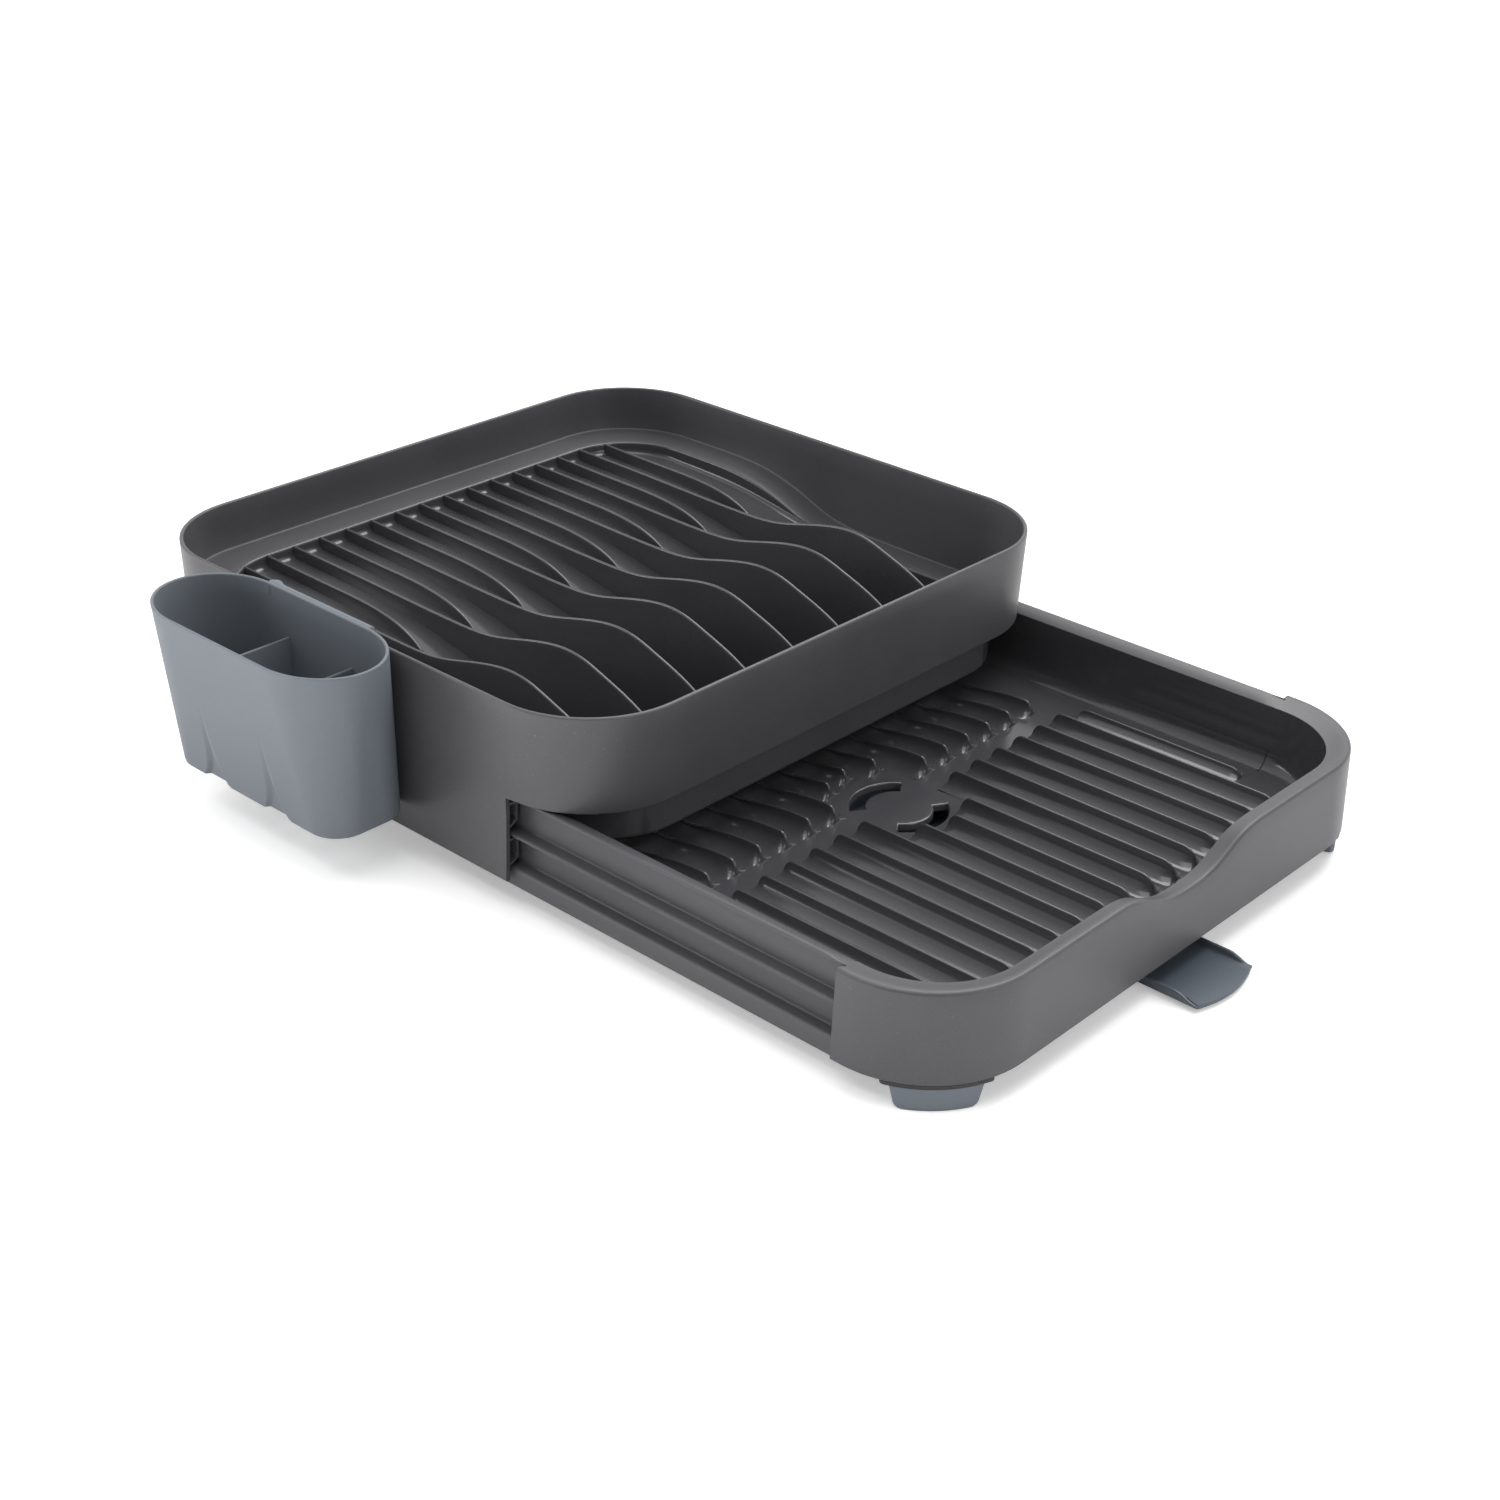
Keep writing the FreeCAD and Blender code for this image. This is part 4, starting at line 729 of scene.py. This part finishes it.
# The cup is open towards the channel within 47 degrees to each side of it.
t = np.radians(np.linspace(0, 360, 97)[:-1])
mouth = np.abs(np.degrees(np.arctan2(np.sin(t), np.cos(t)))) < 47
cup_r, bore, hub, cup_floor, hub_top, mouth_z = 30.0, 5.06, 8.66, 8.0, 12.2, 8.2
cup_top = np.where(mouth, mouth_z, 18.0)
spout.grid([np.c_[drain_x + r * np.cos(t), r * np.sin(t), np.broadcast_to(z, len(t))] for r, z in (
    (bore, cup_under), (cup_r - 0.6, cup_under), (cup_r, cup_under + 0.6), (cup_r, cup_top),
    (cup_r - spout_wall, cup_top), (cup_r - spout_wall, np.where(mouth, mouth_z, 8.6)), (cup_r - 3.0, cup_floor),
    (hub, cup_floor), (hub, hub_top), (bore, hub_top), (bore, cup_under))], closed=True)
spout.make("spout_detailed", spout_satin, "spout", "accent_plastic", sharp=45, stands_for="spout")

# The pivot's washer and screw stay as solids: a washer of the spout's plastic, and a turned stainless steel
# screw, whose fine rings give it a bright, slightly blurred shine.
screw_steel = moulded("stainless_steel_turned", "a4a4a4", "b0b0b0", (0.28, 0.36), 2.2, 0.04, metallic=1.0)
for name, material in (("pivot_washer", spout_satin), ("pivot_screw", screw_steel)):
    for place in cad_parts[name].material_slots:
        place.material = material

# Caddy: a tapered cutlery cup with oval ends, two dividers behind two shallow recesses in its front, drain slots
# in its floor, and a rolled hook over the rack's rim. A grey-blue polypropylene moulding, matte from its eroded
# mould, so that its sides shade evenly and reflect nothing clearly.
caddy_x, caddy_top, caddy_foot, caddy_back, caddy_front = -15.7, 119.0, 29.3, -183.0, -246.0
caddy_half, end_taper, front_taper, caddy_wall = 74.6, 9.6, 13.4, 1.8
end_reach, end_half, foot_corner = 37.8, 31.4, 16.5
divider_x, divider_top = (caddy_x - 24.75, caddy_x + 24.75), 93.7
recess_x, recess_top = (-42.5, 5.5), 92.0
caddy_matte = moulded("polypropylene_matte_greyblue", "61676e", "686e75", (0.46, 0.56), 1.5, 0.12)


def caddy_ring(z, inset):
    """The cup at height z, reduced by inset: an oval-cornered outline that shrinks evenly downwards. Each recess
    is pressed in by the smooth step from its edge, and widens and deepens exponentially towards the foot."""
    s = (caddy_top - z) / (caddy_top - caddy_foot)
    rx, ry = (end + (foot_corner - end) * s - inset for end in (end_reach, end_half))
    front = caddy_front + front_taper * s + inset
    half = caddy_half - end_taper * s - inset
    xy = ring(caddy_x - half, caddy_x + half, front, caddy_back - inset, rx, 22, 150, ry)
    if z < recess_top:
        up, fade = z - caddy_foot, smooth01((recess_top - z) / 45.0)
        width = (3.2 + 7.6 * math.exp(-up / 9.0)) * (0.35 + 0.65 * fade)
        depth = (0.55 + 2.0 * math.exp(-up / 15.0)) * fade
        flank = 2.4 + 2.6 * (1 - math.exp(-up / 12.0))
        for x in recess_x:
            xy[:, 1] += depth * smooth01((width - np.abs(xy[:, 0] - x)) / flank) * (xy[:, 1] < front + 0.05)
    return xy


caddy = Mesh()
edge, floor_top = 0.9, caddy_foot + 2.0
rows = [lift(caddy_ring(caddy_foot, 2.2), caddy_foot)]
rows += [lift(caddy_ring(caddy_foot, 1 - up), caddy_foot + far) for far, up in rounding(30, 60, 90)]
up_walls = np.r_[np.linspace(caddy_foot + 1.6, 50.0, 22), np.linspace(52.0, 94.0, 22), 100.0, 108.0, caddy_top - edge]
rows += [lift(caddy_ring(z, 0.0), z) for z in up_walls]
rows += [lift(caddy_ring(caddy_top, edge * far), caddy_top - edge + edge * up)
         for far, up in rounding(30, 60, 90, 120, 150, 180)]
down_walls = np.r_[108.0, 100.0, np.linspace(94.0, 52.0, 22), np.linspace(50.0, caddy_foot + 3.8, 20)]
rows += [lift(caddy_ring(z, caddy_wall), z) for z in down_walls]
rows += [lift(caddy_ring(floor_top, caddy_wall * (1 + far)), floor_top + caddy_wall * (1 - up))
         for far, up in rounding(30, 60, 90)]
caddy.grid(rows, closed=True)
caddy_drains = []
for left, right in ((caddy_x - 63.2, divider_x[0]), divider_x, (divider_x[1], caddy_x + 63.2)):
    for x in (left + right) / 2 + np.array([-10, 0, 10]):
        caddy_drains.append(ring(x - 2, x + 2, -216.5, -196.5, 1.99, 6, 8))
for row, z, flip in ((rows[-1], floor_top, False), (rows[0], caddy_foot, True)):
    caddy.fill(row[:, :2], caddy_drains, lambda x, y: np.full(len(x), z), 9.0, flip=flip)
for drain in caddy_drains:
    caddy.grid([lift(drain, floor_top), lift(drain, caddy_foot)], closed=True)
# Each divider's front edge follows the recess before it, and its top is rounded.
z = np.linspace(caddy_foot + 1.5, divider_top - 0.7, 24)
y = caddy_front + front_taper * (caddy_top - z) / (caddy_top - caddy_foot) + 1.3 + 2.4 * np.exp(
    -(z - caddy_foot) / 20.0)
y = np.r_[y, y[-1] + 0.2, caddy_back - 1.2, caddy_back - 0.9]
z = np.r_[z, divider_top, divider_top, caddy_foot + 1.5]
for middle in divider_x:
    sides = [np.c_[np.full(len(y), middle + dx), y, np.minimum(z, divider_top - drop_z)] for dx, drop_z in (
        (-0.9, 0.6), (-0.6, 0.15), (0.0, 0.0), (0.6, 0.15), (0.9, 0.6))]
    caddy.grid(sides)
    caddy.fan(sides[0])
    caddy.fan(sides[-1], flip=True)
caddy.make("caddy_detailed", caddy_matte, "caddy", "caddy_plastic", sharp=42, stands_for="caddy")

# The hook: a roll over the rim whose profile (y, z) is carried along X. Towards both ends it closes on its
# middle, and a small bump near its left end stands out of the roll.
hook_y, hook_z, hook_seat = -180.9, 114.0, 112.45
t = np.radians(np.linspace(150, 0, 11))
roll = np.array([(-183.9, 112.5), (-183.9, 116.8), *zip(hook_y + 3.0 * np.cos(t), 115.3 + 2.9 * np.sin(t)),
                 (-177.9, 100.5), (-178.2, 100.1), (-179.4, 100.1), (-179.7, 100.5), (-179.7, 112.4)])
y, z = roll.T[:, :, None]
x = np.r_[-57.6, -57.3, -56.6, -55.6, -54.4, -53.0, -51.6, -50.2, -49.0, np.linspace(-46.0, 14.0, 12), 16.5, 18.5,
          19.6, 20.2, 20.5]
bump = np.exp(-((x + 53.6) / 2.6) ** 2)
closing = np.interp(x, [-57.6, -57.3, -56.6, 19.6, 20.2, 20.5], [0.12, 0.04, 0.0, 0.0, 0.04, 0.12])
over = z > hook_seat
across = y + (hook_y - y) * closing + over * 0.45 * (y - hook_y) * bump
lines = np.stack([x + 0 * y, across, z + over * ((hook_z - z) * closing + 0.75 * bump)], axis=2)
hook = Mesh()
hook.grid(np.concatenate([lines, lines[:1]]))
hook.fan(lines[:, 0])
hook.fan(lines[:, -1], flip=True)
hook.make("caddy_hook", caddy_matte, "caddy", "caddy_plastic", sharp=50)

# Studio: a white floor that fades into a white room, four softboxes, and a lamp that lights the floor before
# the object. The room is darker on the side that the object is seen from, as in a photographer's studio.
floor = bpy.data.meshes.new("studio_floor")
floor.from_pydata([(-6, -6, 0), (6, -6, 0), (6, 6, 0), (-6, 6, 0)], [], [(0, 1, 2, 3)])
stage = bpy.data.objects.new("studio_floor", floor)
bpy.context.scene.collection.objects.link(stage)
white = bpy.data.materials.new("paper_matte_white")
white.use_nodes = True
white.node_tree.nodes.clear()
by_camera = node(white.node_tree, "LightPath").outputs["Is Camera Ray"]
paper = node(white.node_tree, "BsdfPrincipled", [(by_camera, "Emission Strength")], {
    "Base Color": (0.9, 0.9, 0.9, 1), "Roughness": 0.9, "Emission Color": (0.35, 0.35, 0.35, 1)})
node(white.node_tree, "OutputMaterial", [(paper.outputs[0], 0)])
floor.materials.append(white)
world = bpy.data.worlds.new("studio")
bpy.context.scene.world = world
world.use_nodes = True
t = world.node_tree
t.nodes.clear()
towards = node(t, "VectorMath", [(node(t, "TexCoord").outputs["Generated"], 0)], {1: (0.62, -0.70, 0.36)},
               operation="DOT_PRODUCT").outputs["Value"]
path = node(t, "LightPath")
lit, shine = (node(t, "MapRange", [(towards, 0)], dict(enumerate(span, 1)), interpolation_type="SMOOTHSTEP").outputs[0]
              for span in ((0.1, 0.9, 0.88, 0.30), (0.1, 0.85, 1.0, 0.14)))
level = node(t, "Mix", [(path.outputs["Is Glossy Ray"], 0), (lit, 2), (shine, 3)]).outputs[0]
shown = node(t, "Mix", [(path.outputs["Is Camera Ray"], 0), (level, 2)], {3: 1.0}).outputs[0]
room = node(t, "Background", [(shown, "Strength")], {"Color": (1, 1, 1, 1)})
node(t, "OutputWorld", [(room.outputs[0], 0)])


def softbox(name, at, aim, size, power, spread=180):
    """A rectangular lamp in metres and watts that looks at a point."""
    light = bpy.data.lights.new(name, "AREA")
    light.shape = "RECTANGLE"
    light.size, light.size_y = size
    light.energy, light.spread = power, math.radians(spread)
    lamp = bpy.data.objects.new(name, light)
    lamp.location = at
    lamp.rotation_mode = "QUATERNION"
    lamp.rotation_quaternion = (Vector(aim) - Vector(at)).to_track_quat("-Z", "Y")
    bpy.context.scene.collection.objects.link(lamp)


softbox("back", (-0.2, 1.3, 1.9), (0, 0, 0.05), (1.7, 1.3), 30)
softbox("top", (0.2, 0.0, 2.2), (0, 0, 0.05), (1.9, 1.7), 20)
softbox("left", (-1.9, -1.5, 0.8), (0, 0, 0.05), (1.4, 1.0), 16)
softbox("floor_wash", (0.0, -1.0, 0.9), (0.0, -0.9999, 0.0), (1.6, 0.8), 14, spread=80)
softbox("right", (2.2, -0.1, 1.0), (0.1, 0, 0.05), (1.2, 1.0), 8)

# Camera: fitted to the edges in the photograph. It looks at a point on the counter, from 1262 mm away.
azimuth, elevation, roll = (math.radians(a) for a in (41.62, 27.9, 1.63))
ahead = Vector((-math.sin(azimuth) * math.cos(elevation), math.cos(azimuth) * math.cos(elevation),
                -math.sin(elevation)))
level_right = Vector((math.cos(azimuth), math.sin(azimuth), 0))
level_up = level_right.cross(ahead)
right = level_right * math.cos(roll) + level_up * math.sin(roll)
up = level_up * math.cos(roll) - level_right * math.sin(roll)
lens = bpy.data.cameras.new("camera")
lens.sensor_width = 36.0
lens.lens = 2320.04 / 1500 * lens.sensor_width
lens.clip_start, lens.clip_end = 0.05, 50
camera = bpy.data.objects.new("camera", lens)
place = Matrix((right, up, -ahead)).transposed().to_4x4()
place.translation = Vector((np.array([85.79, 21.67, 0]) + to_frame) / 1000) - ahead * 1.26248
camera.matrix_world = place
bpy.context.scene.collection.objects.link(camera)
bpy.context.scene.camera = camera
bpy.context.scene.view_settings.view_transform = "Standard"
